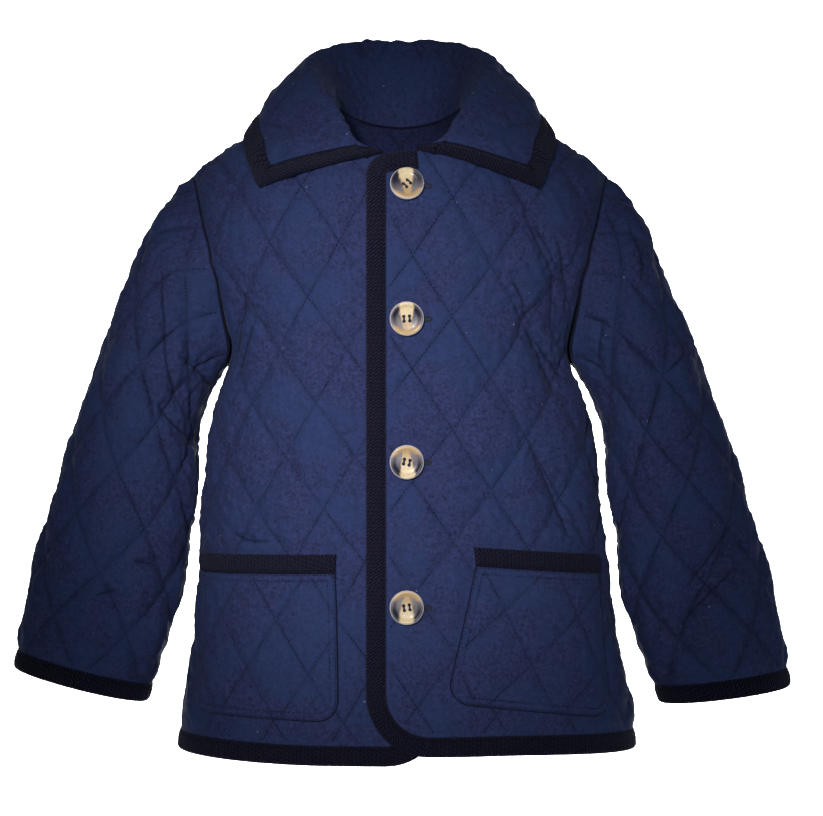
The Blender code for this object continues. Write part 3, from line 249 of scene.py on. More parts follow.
# Creases: the piece, the width and depth of each one, and the points it passes, as seen from the front
CREASE_SHADE_REACH = 0.8  # from a crease's middle, how far its painted shade reaches
CREASE_REACH = 6.0  # from a crease, how far it has more points
CREASE_CUTS = 3
CREASE_END = 0.3  # share of a crease's length over which it starts or ends
CREASE_FRONT = 14.0  # in front of the jacket's middle, where a crease is whole
BANK_AT, BANK_WIDTH, BANK_RISE = 3.0, 1.8, 0.35  # beside a crease, in its own widths and depth
CREASES = (
    ("front_left", 2.4, 1.8, ((81, -67), (93, -99), (106, -128), (105, -162), (118, -186))),
    ("front_left", 2.2, 1.5, ((107, -100), (112, -118), (117, -140))),
    ("front_left", 2.6, 1.9, ((74, -124), (84, -146), (83, -156))),
    ("front_left", 3.0, 2.6, ((84, -156), (100, -184), (112, -210))),
    ("front_left", 2.4, 1.8, ((91, -165), (105, -183), (120, -200))),
    ("front_left", 2.0, 1.4, ((101, -136), (84, -156), (80, -172))),
    ("front_left", 3.0, 2.2, ((85, -234), (99, -261), (110, -287), (118, -312))),
    ("front_right", 3.0, 2.2, ((-107, -135), (-111, -160), (-117, -186))),
    ("front_right", 2.2, 1.4, ((-98, -150), (-106, -176), (-114, -200))),
    ("front_right", 2.0, 1.3, ((-118, -300), (-100, -306), (-84, -305))),
    ("sleeve_right", 3.0, 2.2, (
        (-165, -98), (-164, -136), (-162, -156), (-161, -184), (-152, -214), (-147, -236),
    )),
    ("sleeve_right", 2.2, 1.6, ((-157, -174), (-139, -192), (-130, -218))),
    ("sleeve_right", 2.4, 1.8, ((-170, -208), (-154, -229), (-139, -243))),
    ("sleeve_right", 2.4, 1.8, ((-186, -320), (-169, -324))),
    ("sleeve_right", 2.2, 1.5, ((-212, -345), (-194, -340))),
    ("sleeve_left", 2.2, 1.5, ((141, -150), (139, -190))),
    ("sleeve_left", 2.0, 1.3, ((157, -85), (165, -114), (165, -133))),
    ("sleeve_left", 2.2, 1.5, ((186, -164), (193, -175), (180, -194))),
    ("sleeve_left", 2.4, 1.7, ((237, -288), (215, -317), (193, -345))),
    ("sleeve_left", 2.4, 1.7, ((240, -319), (214, -344), (188, -372))),
    ("sleeve_left", 2.2, 1.5, ((204, -227), (194, -240))),
)

# Finer steps and looks of the cloth, beyond what the solids carry
UV_SPAN = 1000.0  # millimetres of cloth in one unit of the cloth's UV map
PUFF_SEEN = {
    "sleeve_left": 4.2,
    "sleeve_right": 3.9,
    "back": 3.2,
    "collar": 1.6,
    "pocket_left": 1.6,
    "pocket_right": 1.6,
}
SHOULDER_OF_DIAMOND = 5.5  # distance from a line over which a diamond rounds up
PUCKER_REACH = 5.0
PUCKER_RISE = 0.75
PUCKERS = ((5.3, 0.0), (8.9, 1.3), (13.7, 2.1))  # length and start of each wave along a line
RUMPLE_RISE = 0.36
BROAD_SHARE = 0.16  # how unevenly full the diamonds are
DIMPLE = 0.5  # of the inner skin at a line of quilting
DIMPLE_REACH = 3.0  # from the line
DIMPLE_CLEAR = 8.0  # from a piece's edge, where it is whole
PLAIN_STAND = (40.0, 54.0)  # up from the neck seam, where the collar's plain stand turns into quilting
PLAIN_AWAY = 30.0  # distance to a line of quilting that stands for none
POCKET_EDGE = 1.7
POCKET_ROUND = 1.6  # from the edge, where it is fully round and has its first row of stitches
POCKET_STITCH = 5.6  # from the edge to the second row of stitches
POCKET_BASE = 0.3  # thickness of the pocket's cloth before its edge rounds up
POCKET_STITCH_DEPTH = 0.55  # how far the second row pulls the cloth in
POCKET_STITCH_WIDTH = 0.9
POCKET_PUFF = 0.8  # share of the wadding's rise in a pocket
POCKET_BACK = 0.05  # of the back of the pocket's cloth, over the gap to the front piece
STRIP_STEP = 0.9
STITCH = 2.7
STITCH_WIDTH = 0.75
GROOVE_SHADE_WIDTH = 3.6  # from a line of quilting, how far painted shade darkens its groove
GROOVE_SHADE_SHARE = 0.2
QUILT_START = (2.0, 4.0)  # from a piece's edge, where the quilting's stitches begin to show
STITCH_IN = 1.5  # from the binding's inner edge to its stitches
STITCH_SUNK = 0.35  # how far the stitches pull the binding in
STITCH_SUNK_WIDTH = 0.8
RIB_PITCH = 1.7
RIB_ALONG, RIB_ACROSS = 0.82, 0.57
TWILL_UNEVEN = 0.1
TWILL_RISES = (-0.8, 0.4)  # rise over the form at which the twill's unevenness starts and is whole
BAND_ROUND = 2.0  # from the end of a pocket's band, where it has its full height
BAND_END = 0.1  # the same at its very end, as the square of the share
WEAVE_SCALE = 330.0

ARC_STEP = 1.5
LINE_STEP = 1.0
TURN_LINES = 721
FORM_HEIGHTS = (-480.0, 100.0)  # of cloth, for which the body's form is worked out

BINDING_SECTION = (
    (BINDING + 0.5, -1.4), (9.0, -2.2), (4.0, -2.4), (1.6, -2.4), (0.6, -2.2), (0.0, -1.5),
    (-0.1, -0.8), (0.1, 0.0), (0.6, 0.6), (1.3, 1.0), (2.2, 1.2), (3.2, 1.3), (4.3, 1.35),
    (5.4, 1.38), (6.5, 1.38), (7.6, 1.35), (8.7, 1.3), (9.7, 1.2), (10.5, 1.05), (11.1, 0.9),
    (11.7, 0.8), (12.3, 0.6), (BINDING + 0.5, -0.1),
)
BAND_SECTION = (
    (BINDING, 0.3), (6.0, 0.3), (0.5, 0.3), (0.0, 0.8), (0.0, 1.8), (0.4, 2.5), (1.2, 2.9), (2.3, 3.1),
    (3.6, 3.2), (5.0, 3.25), (6.4, 3.25), (7.8, 3.2), (9.2, 3.1), (10.4, 2.95), (11.3, 2.7),
    (12.0, 2.3), (BINDING, 1.6),
)
BUTTON_FLOOR = 2.5
BUTTON_PROFILE = (
    (0, 2.5), (4, 2.5), (6.6, 2.6), (8.0, 2.9), (8.8, 3.35), (9.4, 3.75), (10.0, 3.9), (10.7, 3.8),
    (11.3, 3.3), (11.6, 2.6), (11.5, 1.9), (10.9, 1.2), (9.8, 0.4), (9.0, 0), (0, 0),
)
STREAK_TURNS = (6, 2, 184, 178)
HOLE_LENGTH = 17.0
HOLE_HALF_HEIGHT = 1.3
HOLE_SHIFT = 6.8
HOLE_STEP = 0.3  # between points along a buttonhole's stitches
HOLE_STITCH = 0.9  # length of one stitch
HOLE_THREAD = 0.85  # half of the ring's width
HOLE_RISE = 0.25  # of the stitches' middle over the cloth
HOLE_BEAT = 0.12  # how much each stitch rises and falls about that
THREAD_POINTS = 9
THREAD_RADIUS = 0.62
THREAD_RISE = 0.75  # of the thread's middle over the button's floor
THREAD_DROP = 0.9  # from there to its ends in the holes

NAVY_LOW = (0.0045, 0.0068, 0.026)
NAVY_HIGH = (0.0262, 0.0372, 0.115)
NAVY_BLUE = (0.0110, 0.0300, 0.090)
NAVY_PURPLE = (0.0260, 0.0200, 0.066)
STITCH_NAVY = (0.0055, 0.0070, 0.024)
# needle holes, and painted shade along the seams and in creases
HOLE_AND_SHADE_NAVY = (0.0012, 0.0014, 0.005)
LINT = (0.26, 0.30, 0.40)
# the twill's ribs: painted shade in their valleys and painted light on their crests
TWILL_VALLEY_SHADE = (0.0012, 0.0011, 0.0030)
TWILL_CREST_LIGHT = (0.0135, 0.0125, 0.0310)
TWILL_FUZZ = (0.0042, 0.0046, 0.0145)
TWILL_WARM = (0.0105, 0.0080, 0.0160)
SLATE_LIGHT = (0.135, 0.125, 0.135)
SLATE_DARK = (0.009, 0.010, 0.021)
CREAM = (0.48, 0.40, 0.24)
TAN = (0.34, 0.24, 0.12)
BROWN = (0.10, 0.055, 0.025)
# painted highlight round a button's rim
RIM_HIGHLIGHT = (0.46, 0.44, 0.43)
THREAD_DARK = (0.003, 0.004, 0.010)
THREAD_LIGHT = (0.012, 0.014, 0.034)
SHEEN_TINT = (0.55, 0.65, 1.0)
PAPER = (0.93, 0.93, 0.93)

PHOTO_WIDTH = 823
PIXEL_AT_AXIS = 0.71  # millimetres to a pixel of the photograph at the middle of the jacket
CAMERA_DISTANCE = 1.7
CAMERA_X = 8.2
CAMERA_HEIGHT = -215.0
FLOOR_Z = -0.62
FLOOR_END = 2.6
FLOOR_BEND = 0.9
WORLD_COLOR = (0.86, 0.97, 1.0)
WORLD_STRENGTH = 0.12
# Area lights: name, place, point aimed at, width, spread in degrees, power
LIGHTS = (
    ("front", (0.5, -2.4, -0.3), (0.0, 0.0, -0.22), 0.7, 180, 13.0),
    ("wall", (0.0, 1.2, 2.2), (0.0, 2.9, -0.4), 1.6, 100, 260.0),
)
SPOT_PLACE = (-0.42, -2.1, 0.32)
SPOT_AIM = (-0.01, 0.0, -0.225)
SPOT_SPREAD = 16.0
SPOT_NARROW = 0.76  # width of its beam over the height
SPOT_POWER = 262.0
SPOT_COLOR = (1.0, 0.93, 0.94)
SPOT_RADIUS = 0.08


# ---------------------------------------------------------------- tables and curves


def column(rows, names, name):
    """One named column of a table."""
    return np.array([row[names.index(name)] for row in rows], dtype=float)


def smooth(keys, values):
    """A smooth curve through the values, as a function of the key."""
    keys = np.asarray(keys, float)
    values = np.asarray(values, float)
    order = np.argsort(keys)
    keys, values = keys[order], values[order]
    slopes = np.gradient(values, keys)

    def at(where):
        where = np.clip(where, keys[0], keys[-1])
        index = np.clip(np.searchsorted(keys, where) - 1, 0, len(keys) - 2)
        step = keys[index + 1] - keys[index]
        u = (where - keys[index]) / step
        start = (2 * u**3 - 3 * u**2 + 1) * values[index] + (u**3 - 2 * u**2 + u) * step * slopes[index]
        end = (3 * u**2 - 2 * u**3) * values[index + 1] + (u**3 - u**2) * step * slopes[index + 1]
        return start + end

    return at


def table_curve(rows, names, key, name):
    return smooth(column(rows, names, key), column(rows, names, name))


def signed_power(values, power):
    return np.sign(values) * np.abs(values) ** power


def ramp(values, low, high):
    """0 at low and 1 at high, with a soft start and end."""
    u = np.clip((values - low) / (high - low), 0, 1)
    return u * u * (3 - 2 * u)


def unit(vectors):
    return vectors / np.maximum(np.linalg.norm(vectors, axis=-1, keepdims=True), 1e-12)


def lengths_along(points):
    """Distance from the first point to each one, along the last axis but one."""
    steps = np.linalg.norm(np.diff(points, axis=-2), axis=-1)
    start = np.zeros(steps.shape[:-1] + (1,))
    return np.concatenate([start, np.cumsum(steps, axis=-1)], axis=-1)


def point_at(points, lengths, distance):
    """For each row of points, the place at that distance along it; past the end it goes straight on."""
    last = lengths.shape[1] - 1
    index = np.clip((lengths < distance[:, None]).sum(axis=1), 1, last)
    rows = np.arange(len(distance))
    low, high = lengths[rows, index - 1], lengths[rows, index]
    u = ((distance - low) / np.maximum(high - low, 1e-9))[:, None]
    return points[rows, index - 1] * (1 - u) + points[rows, index] * u


class Lines:
    """A form as a family of lines, read between the two nearest lines."""

    def __init__(self, first, step, points, lengths):
        self.first, self.step = first, step
        self.points, self.lengths = points, lengths

    def at(self, position, distance):
        steps = (position - self.first) / self.step
        index = np.clip(np.floor(steps).astype(int), 0, len(self.points) - 2)
        share = np.clip(steps - index, 0, 1)[:, None]
        low = point_at(self.points[index], self.lengths[index], distance)
        high = point_at(self.points[index + 1], self.lengths[index + 1], distance)
        return low * (1 - share) + high * share


def smooth_path(corners, step):
    """Points about a step apart on a smooth curve through the corners."""
    corners = np.asarray(corners, float)
    keys = lengths_along(corners)
    dense = np.linspace(0, keys[-1], 400)
    curve = np.stack([smooth(keys, corners[:, axis])(dense) for axis in range(corners.shape[1])], axis=1)
    return resample(curve, step)


def resample(points, step):
    keys = lengths_along(points)
    count = max(int(round(keys[-1] / step)), 1)
    wanted = np.linspace(0, keys[-1], count + 1)
    return np.stack([np.interp(wanted, keys, points[:, axis]) for axis in range(points.shape[1])], axis=1)


def curves_through(knots):
    """For each row of knots, the points of a smooth curve that passes through them all."""
    before = 2 * knots[:, :1] - knots[:, 1:2]
    after = 2 * knots[:, -1:] - knots[:, -2:-1]
    knots = np.concatenate([before, knots, after], axis=1)
    u = np.linspace(0, 1, CURVE_STEPS + 1)[None, :-1, None]
    pieces = []
    for index in range(1, knots.shape[1] - 2):
        a, b, c, d = (knots[:, index + shift, None] for shift in (-1, 0, 1, 2))
        bend = (2 * a - 5 * b + 4 * c - d) * u**2 + (3 * b - a - 3 * c + d) * u**3
        pieces.append(0.5 * (2 * b + (c - a) * u + bend))
    pieces.append(knots[:, -2:-1])
    return np.concatenate(pieces, axis=1)


def arc(centre, radius, start, end):
    """Points on an arc, its angles in degrees."""
    count = max(int(round(math.radians(abs(end - start)) * radius / ARC_STEP)), 2)
    angles = np.radians(np.linspace(start, end, count + 1))
    return np.stack([centre[0] + radius * np.cos(angles), centre[1] + radius * np.sin(angles)], axis=1)


def joined(*runs):
    """The runs of points as one path, with no point twice."""
    points = np.concatenate([np.asarray(run, float).reshape(-1, 2) for run in runs])
    keep = np.ones(len(points), bool)
    keep[1:] = np.linalg.norm(np.diff(points, axis=0), axis=1) > 0.05
    return points[keep]


def inward(path):
    """Vectors to the left of a flat path, lengthened at a corner as a mitre is."""
    ahead = unit(np.diff(path, axis=0))
    left = np.stack([-ahead[:, 1], ahead[:, 0]], axis=1)
    before, after = np.concatenate([left[:1], left]), np.concatenate([left, left[-1:]])
    return (before + after) / (1 + (before * after).sum(axis=1))[:, None]


# ---------------------------------------------------------------- the body's form

half_width = table_curve(BODY, BODY_COLUMNS, "height", "half_width")
front_depth = table_curve(BODY, BODY_COLUMNS, "height", "front")
back_depth = table_curve(BODY, BODY_COLUMNS, "height", "back")
lean = table_curve(BODY, BODY_COLUMNS, "height", "lean")
shoulder_height = table_curve(SHOULDER, SHOULDER_COLUMNS, "out", "height")

QUARTER_TURN = np.linspace(0, np.pi / 2, 49)
RING_SIN = np.sin(QUARTER_TURN) ** (2 / RING_POWER)
RING_COS = np.cos(QUARTER_TURN) ** (2 / RING_POWER)


def ring_depth(height, side):
    return back_depth(height) if side > 0 else front_depth(height)


def shoulder_arc(x, depth):
    """Length of cloth in a column over the shoulder, from the chest ring up to the ridge."""
    return np.pi / 2 * np.sqrt(((shoulder_height(x) - CHEST) ** 2 + depth**2) / 2)


def quarter_ring(up, side):
    """For each height of cloth, a quarter of the ring from the centre line to the side."""
    up = np.atleast_1d(np.asarray(up, float))
    height = np.minimum(up, CHEST)
    x = half_width(height)[:, None] * RING_SIN
    depth = ring_depth(height, side)[:, None] * RING_COS
    turn = np.clip((up[:, None] - CHEST) / shoulder_arc(x, depth), 0, 1) * np.pi / 2
    z = height[:, None] + (shoulder_height(x) - CHEST) * np.sin(turn)
    points = np.stack([x, side * depth * np.cos(turn), z], axis=2)
    return points, lengths_along(points)


def flat_at(x, z, side):
    """Flat place of the point of the form at a distance out and a height."""
    x, z = np.atleast_1d(x), np.atleast_1d(z)
    height = np.minimum(z, CHEST)
    width = half_width(height)
    x = np.minimum(x, width)
    depth = ring_depth(height, side) * (1 - (x / width) ** RING_POWER) ** (1 / RING_POWER)
    rise = np.clip((z - CHEST) / (shoulder_height(x) - CHEST), 0, 1)
    up = np.where(z > CHEST, CHEST + shoulder_arc(x, depth) * np.arcsin(rise) / (np.pi / 2), z)
    ring, lengths = quarter_ring(up, side)
    across = [np.interp(x[i], ring[i, :, 0], lengths[i]) for i in range(len(x))]
    return np.stack([across, up], axis=1)


def out_at(depth, height, side):
    """Distance out of the point of the form at a depth and a height, near the armhole."""
    ring = np.minimum(height, CHEST)
    x = half_width(ring) * np.linspace(0.6, 1, 400)
    base = ring_depth(ring, side) * (1 - np.linspace(0.6, 1, 400) ** RING_POWER) ** (1 / RING_POWER)
    rise = np.clip((height - CHEST) / (shoulder_height(x) - CHEST), 0, 1)
    return float(np.interp(-depth, -base * np.sqrt(1 - rise**2), x))


def side_arc(up, side):
    """Length of cloth from the centre line to the side seam."""
    return quarter_ring(up, side)[1][:, -1]


def on_body(side):
    """The body's form in front (side -1) or at the back (side 1), as a function of (across, up)."""
    heights = np.arange(*FORM_HEIGHTS, LINE_STEP)
    lines = Lines(heights[0], LINE_STEP, *quarter_ring(heights, side))

    def place(flat):
        across, up = flat[:, 0], flat[:, 1]
        points = lines.at(up, np.abs(across))
        points[:, 0] *= np.where(across < 0, -1, 1)
        points[:, 0] += lean(np.minimum(up, CHEST))
        return points

    return place


def normals_on(place, flat):
    """Unit normals of a form, on the side that a flat piece shows when across runs right and up runs up."""
    step = 1.0
    right = place(flat + (step, 0)) - place(flat - (step, 0))
    above = place(flat + (0, step)) - place(flat - (0, step))
    return unit(np.cross(right, above))


def ridge_normal(x):
    """Normals of the form on the shoulder ridge."""
    slope = (shoulder_height(np.abs(x) + 1) - shoulder_height(np.abs(x) - 1)) / 2 * np.sign(x)
    return unit(np.stack([-slope, np.zeros(len(x)), np.ones(len(x))], axis=1))


# ---------------------------------------------------------------- armholes


def armhole(rows, side, hand):
    """Flat points of half an armhole, from the side seam up to the shoulder seam."""
    path = smooth_path(rows, 1.0)
    out = np.array([out_at(depth, height, side) for depth, height in path])
    flat = resample(flat_at(out, path[:, 1], side), EDGE_STEP)
    flat[0, 0] = side_arc(flat[0, 1], side)[0]
    return flat * (hand, 1)


def armhole_points(hand):
    """The whole armhole in space, with the body's normals: underarm, front, shoulder, back, underarm."""
    front, back = armhole(ARMHOLE_FRONT, -1, hand), armhole(ARMHOLE_BACK, 1, hand)
    points = np.concatenate([on_body(-1)(front), on_body(1)(back[::-1])[1:]])
    normals = np.concatenate(
        [normals_on(on_body(-1), front), -normals_on(on_body(1), back[::-1])[1:]]
    )
    middle = len(front) - 1
    normals[middle] = unit(ridge_normal(points[middle : middle + 1, 0]))[0]
    points[middle, 1] = 0
    return points, normals, middle


# ---------------------------------------------------------------- the sleeves' form

half_girth = table_curve(GIRTH, GIRTH_COLUMNS, "along", "half_girth")


def section_points(rows, turn):
    """For each turn round the sleeve, its points from the cuff up to the section below the armhole."""
    table = np.array(rows, float)
    outer, inner, depth, middle_y = table[:, :2], table[:, 2:4], table[:, 4], table[:, 5]
    out = signed_power(np.cos(turn), 2 / SLEEVE_POWER)[:, None, None]
    forward = signed_power(np.sin(turn), 2 / SLEEVE_POWER)[:, None]
    flat = (outer + inner) / 2 - out * (outer - inner) / 2
    y = middle_y - forward * depth
    points = np.stack([flat[:, :, 0], y, flat[:, :, 1]], axis=2)
    return points[:, ::-1]


def rails(rows, hand):
    """A function that gives, for each turn round the sleeve, a smooth line from the cuff to the armhole."""
    loop, _, middle = armhole_points(hand)
    lengths = lengths_along(loop)
    share = np.where(
        np.arange(len(loop)) <= middle,
        lengths / lengths[middle],
        1 + (lengths - lengths[middle]) / (lengths[-1] - lengths[middle]),
    )

    def line(turn):
        at = np.clip(turn / np.pi, 0, 2)
        ends = np.stack([np.interp(at, share, loop[:, axis]) for axis in range(3)], axis=1)
        knots = np.concatenate([section_points(rows, turn), ends[:, None]], axis=1)
        points = curves_through(knots)
        return points, lengths_along(points)

    return line, share


def turn_of(across, along):
    """Turn round the sleeve: 0 at the underarm seam, then the front, the outer side and the back."""
    return np.pi * (1 - across / half_girth(np.maximum(along, 0)))


def on_sleeve(rows, hand):
    line, _ = rails(rows, hand)
    turns = np.linspace(0, 2 * np.pi, TURN_LINES)
    lines = Lines(0, turns[1], *line(turns))

    def place(flat):
        return lines.at(np.clip(turn_of(flat[:, 0], flat[:, 1]), 0, 2 * np.pi), flat[:, 1])

    return place


# ---------------------------------------------------------------- the collar's form


def lap_lift(hand):
    """How far a front stands off the form where the fronts lie on each other, fading towards the neck."""

    def lift(flat):
        share = 1 - ramp(hand * flat[:, 0], LAP_FLAT, LAP_END)
        return hand * LAP_LIFT * share * (1 - ramp(flat[:, 1], *LAP_FADE))

    return lift


def neck_path(rows, side, step):
    """Flat points on a half of the neck seam, from the shoulder seam."""
    path = smooth_path(rows, 1.0)
    return resample(flat_at(path[:, 0], path[:, 1], side), step)


def neck_line():
    """The neck seam from the middle of the back to the collar's end: points, normals, lengths, lap."""
    front, back = neck_path(NECK_FRONT, -1, 2.0), neck_path(NECK_BACK, 1, 2.0)[::-1]
    lap = np.concatenate([np.zeros(len(back)), lap_lift(1)(front)[1:]])
    points = np.concatenate([on_body(1)(back), on_body(-1)(front)[1:]])
    normals = np.concatenate([-normals_on(on_body(1), back), normals_on(on_body(-1), front)[1:]])
    seam = len(back) - 1
    normals[seam] = ridge_normal(points[seam : seam + 1, 0])[0]
    return points, normals, lengths_along(points), lap


NECK_LINE = neck_line()


def neck_at(share):
    """Points and normals on the neck seam, at a share from the middle of the back to the collar's end."""
    points, normals, lengths, lap = NECK_LINE
    wanted = share * lengths[-1]
    place = np.stack([np.interp(wanted, lengths, points[:, axis]) for axis in range(3)], axis=1)
    normal = np.stack([np.interp(wanted, lengths, normals[:, axis]) for axis in range(3)], axis=1)
    return place, unit(normal), np.interp(wanted, lengths, lap)


COLLAR_CURVES = {name: table_curve(COLLAR, COLLAR_COLUMNS, "station", name) for name in COLLAR_COLUMNS[1:]}


def body_level(points):
    """1 on the body's form above the chest ring, more outside it and less inside it."""
    x, y, z = np.abs(points[..., 0]), points[..., 1], points[..., 2]
    depth = np.where(y < 0, ring_depth(CHEST, -1), ring_depth(CHEST, 1))
    depth = depth * (1 - (x / half_width(CHEST)) ** RING_POWER) ** (1 / RING_POWER)
    return np.hypot(y / depth, (z - CHEST) / (shoulder_height(x) - CHEST))


def clear_of_body(points, lengths, start):
    """Moves the collar's sections out from the body, from their lift at the neck to the full clearance."""
    share = ramp(lengths, 0, COLLAR_RISE)
    for _ in range(3):
        side = np.where(points[..., 0] < 0, -1, 1)
        lap = side * LAP_LIFT * (1 - ramp(np.abs(points[..., 0]), LAP_FLAT, LAP_END))
        lap = lap * (1 - ramp(points[..., 2], *LAP_FADE))
        level = body_level(points)
        steps = [body_level(points + step) - level for step in 0.1 * np.eye(3)]
        slope = np.stack(steps, axis=-1) / 0.1
        steepness = np.linalg.norm(slope, axis=-1)
        wanted = start[:, None] * (1 - share) + COLLAR_CLEAR * share + lap
        missing = np.maximum(wanted - (level - 1) / steepness, 0) * ramp(lengths, 0, 3)
        points = points + slope * (missing / steepness)[..., None]
    return points


def collar_section(across):
    """For each distance from the middle of the back, the collar's section from the neck seam to its edge."""
    share = np.clip(np.abs(across) / COLLAR_HALF, 0, 1)
    row = {name: curve(share) for name, curve in COLLAR_CURVES.items()}
    place, normal, lap = neck_at(share)
    lapped = normal * (lap * np.sign(across))[:, None]
    seam = place + normal * row["lift"][:, None] + lapped
    roll = np.stack([row["roll_x"], row["roll_y"], row["roll_z"]], axis=1) + lapped
    edge = np.stack([row["edge_x"], row["edge_y"], row["edge_z"]], axis=1)
    out = unit(edge - seam)
    up = unit(np.cross(out, np.cross(roll - seam, edge - roll)))
    up *= np.sign((up * (roll - seam)).sum(axis=1))[:, None]
    radius = row["round"][:, None]
    stand_end = roll - out * radius * STAND_END[0] - up * radius * STAND_END[1]
    fall_start = roll + out * radius * FALL_START[0] - up * radius * FALL_START[1]
    middle = fall_start * 0.5 + edge * 0.5 + up * row["bulge"][:, None]
    stand_middle = seam * 0.5 + stand_end * 0.5
    knots = np.stack([seam, stand_middle, stand_end, roll, fall_start, middle, edge], axis=1)
    knots[:, :, 0] *= np.where(across < 0, -1, 1)[:, None]
    points = curves_through(knots)
    points = clear_of_body(points, lengths_along(points), row["lift"])
    return points, lengths_along(points)


def collar_depth(across):
    """Length of cloth from the neck seam to the collar's outer edge."""
    return collar_section(np.atleast_1d(across))[1][:, -1]


def on_collar():
    across = np.arange(-COLLAR_HALF - 1, COLLAR_HALF + 2, LINE_STEP)
    lines = Lines(across[0], LINE_STEP, *collar_section(across))

    def place(flat):
        return lines.at(flat[:, 0], flat[:, 1])

    return place


# ---------------------------------------------------------------- quilting, folds and triangles


def waves(seed, count, shortest, longest):
    """A smooth random height of about 1 over flat places, as a function of them in millimetres."""
    random = np.random.default_rng(seed)
    heading = random.uniform(0, 2 * np.pi, count)
    length = np.exp(random.uniform(np.log(shortest), np.log(longest), count))
    phase = random.uniform(0, 2 * np.pi, count)
    turns = 2 * np.pi / length * np.stack([np.cos(heading), np.sin(heading)])

    def height(flat):
        return np.sin(flat @ turns + phase).sum(axis=1) * math.sqrt(2 / count)

    return height


BROAD = waves(3, 14, 60.0, 170.0)
RUMPLE = waves(11, 40, 7.0, 22.0)
BINDING_WAVES = waves(23, 30, 1.6, 6.0)


def quilt_steps(piece):
    """A crossing of the quilting lines, and the steps down to its two neighbours."""
    row = next(row for row in QUILT if row[0] == piece)
    values = np.array(row[1:], float)
    return values[:2], np.stack([values[2:4], values[4:6]])


def quilt_coordinates(piece, flat):
    """Places counted in diamonds, so that each line of quilting has a whole number."""
    crossing, steps = quilt_steps(piece)
    return (flat - crossing) @ np.linalg.inv(steps)


def quilt_grid(piece, outline, cuts):
    """Points on the quilting lines and between them, over an outline and a little more."""
    crossing, steps = quilt_steps(piece)
    low, high = outline.min(axis=0), outline.max(axis=0)
    corners = np.array([(x, y) for x in (low[0], high[0]) for y in (low[1], high[1])])
    counted = quilt_coordinates(piece, corners)
    low, high = np.floor(counted.min(axis=0)), np.ceil(counted.max(axis=0))
    first = np.arange(low[0] * cuts, high[0] * cuts + 1) / cuts
    second = np.arange(low[1] * cuts, high[1] * cuts + 1) / cuts
    grid = np.stack(np.meshgrid(first, second), axis=2).reshape(-1, 2)
    points = crossing + grid @ steps
    near = (points > outline.min(axis=0)) & (points < outline.max(axis=0))
    return points[near.all(axis=1)]


def kept_inside(points, outline, clearance):
    """Those of the points that lie inside an outline and clear of it."""
    return points[inside(points, outline) & (distance_to(points, outline) > clearance)]


def inside(points, loop):
    """Whether each flat point lies inside a closed outline."""
    start, end = loop, np.roll(loop, -1, axis=0)
    x, y = points[:, 0, None], points[:, 1, None]
    spans = (start[:, 1] > y) != (end[:, 1] > y)
    rise = np.where(np.abs(end[:, 1] - start[:, 1]) < 1e-9, 1e-9, end[:, 1] - start[:, 1])
    cross = start[:, 0] + (y - start[:, 1]) * (end[:, 0] - start[:, 0]) / rise
    return (spans & (x < cross)).sum(axis=1) % 2 == 1


def distance_to(points, loop):
    """Distance from each flat point to a closed outline."""
    start, step = loop, np.roll(loop, -1, axis=0) - loop
    share = ((points[:, None] - start) * step).sum(axis=2) / np.maximum((step**2).sum(axis=1), 1e-9)
    nearest = start + np.clip(share, 0, 1)[:, :, None] * step
    return np.linalg.norm(points[:, None] - nearest, axis=2).min(axis=1)


def fold_rise(piece, points):
    """Rise of the folds at points in space."""
    rise = np.zeros(len(points))
    seen = points[:, [0, 2]]
    for name, side, x1, z1, x2, z2, width, height in FOLDS:
        if name != piece:
            continue
        start, step = np.array((x1, z1), float), np.array((x2 - x1, z2 - z1), float)
        share = np.clip((seen - start) @ step / (step @ step), 0, 1)
        away = np.linalg.norm(seen - start - share[:, None] * step, axis=1)
        ends = ramp(share, -FOLD_END, FOLD_END) * ramp(1 - share, -FOLD_END, FOLD_END)
        rise += height * np.exp(-((away / width) ** 2)) * ends * ramp(points[:, 1] * side, *FOLD_DEPTHS)
    return rise


def crease_at(piece, points):
    """Depth of the creases at points in space, the strength of their painted shade, and the distance to one.
    """
    depth, share = np.zeros(len(points)), np.zeros(len(points))
    nearest = np.full(len(points), np.inf)
    seen = points[:, [0, 2]]
    for name, width, deepest, corners in CREASES:
        if name != piece:
            continue
        path = smooth_path(corners, 1.0)
        keys = lengths_along(path)
        reach = np.linalg.norm(seen[:, None] - path, axis=2)
        index = reach.argmin(axis=1)
        away, along = reach[np.arange(len(points)), index], keys[index] / keys[-1]
        ends = ramp(along, 0, CREASE_END) * ramp(1 - along, 0, CREASE_END)
        ends = ends * ramp(-points[:, 1], 0, CREASE_FRONT)
        valley = np.exp(-away / width) * ends
        bank = np.exp(-(((away - BANK_AT * width) / (BANK_WIDTH * width)) ** 2)) * ends
        depth += deepest * (valley - BANK_RISE * bank)
        share = np.maximum(share, np.exp(-((away / CREASE_SHADE_REACH) ** 2)) * ends)
        nearest = np.minimum(nearest, away)
    return depth, share, nearest


def crease_points(form, outline):
    """More points near the creases of a piece, between its other points."""
    if form.piece not in [row[0] for row in CREASES]:
        return np.empty((0, 2))
    fine = quilt_grid(form.piece, outline, CREASE_CUTS * OUTER_CUTS)
    places = form.place(fine)
    close = (crease_at(form.piece, places)[2] < CREASE_REACH) & (places[:, 1] < 0)
    counted = quilt_coordinates(form.piece, fine) * OUTER_CUTS
    between = np.abs(counted - np.round(counted)).max(axis=1) > 0.1
    return kept_inside(fine[close & between], outline, OUTER_CLEAR)


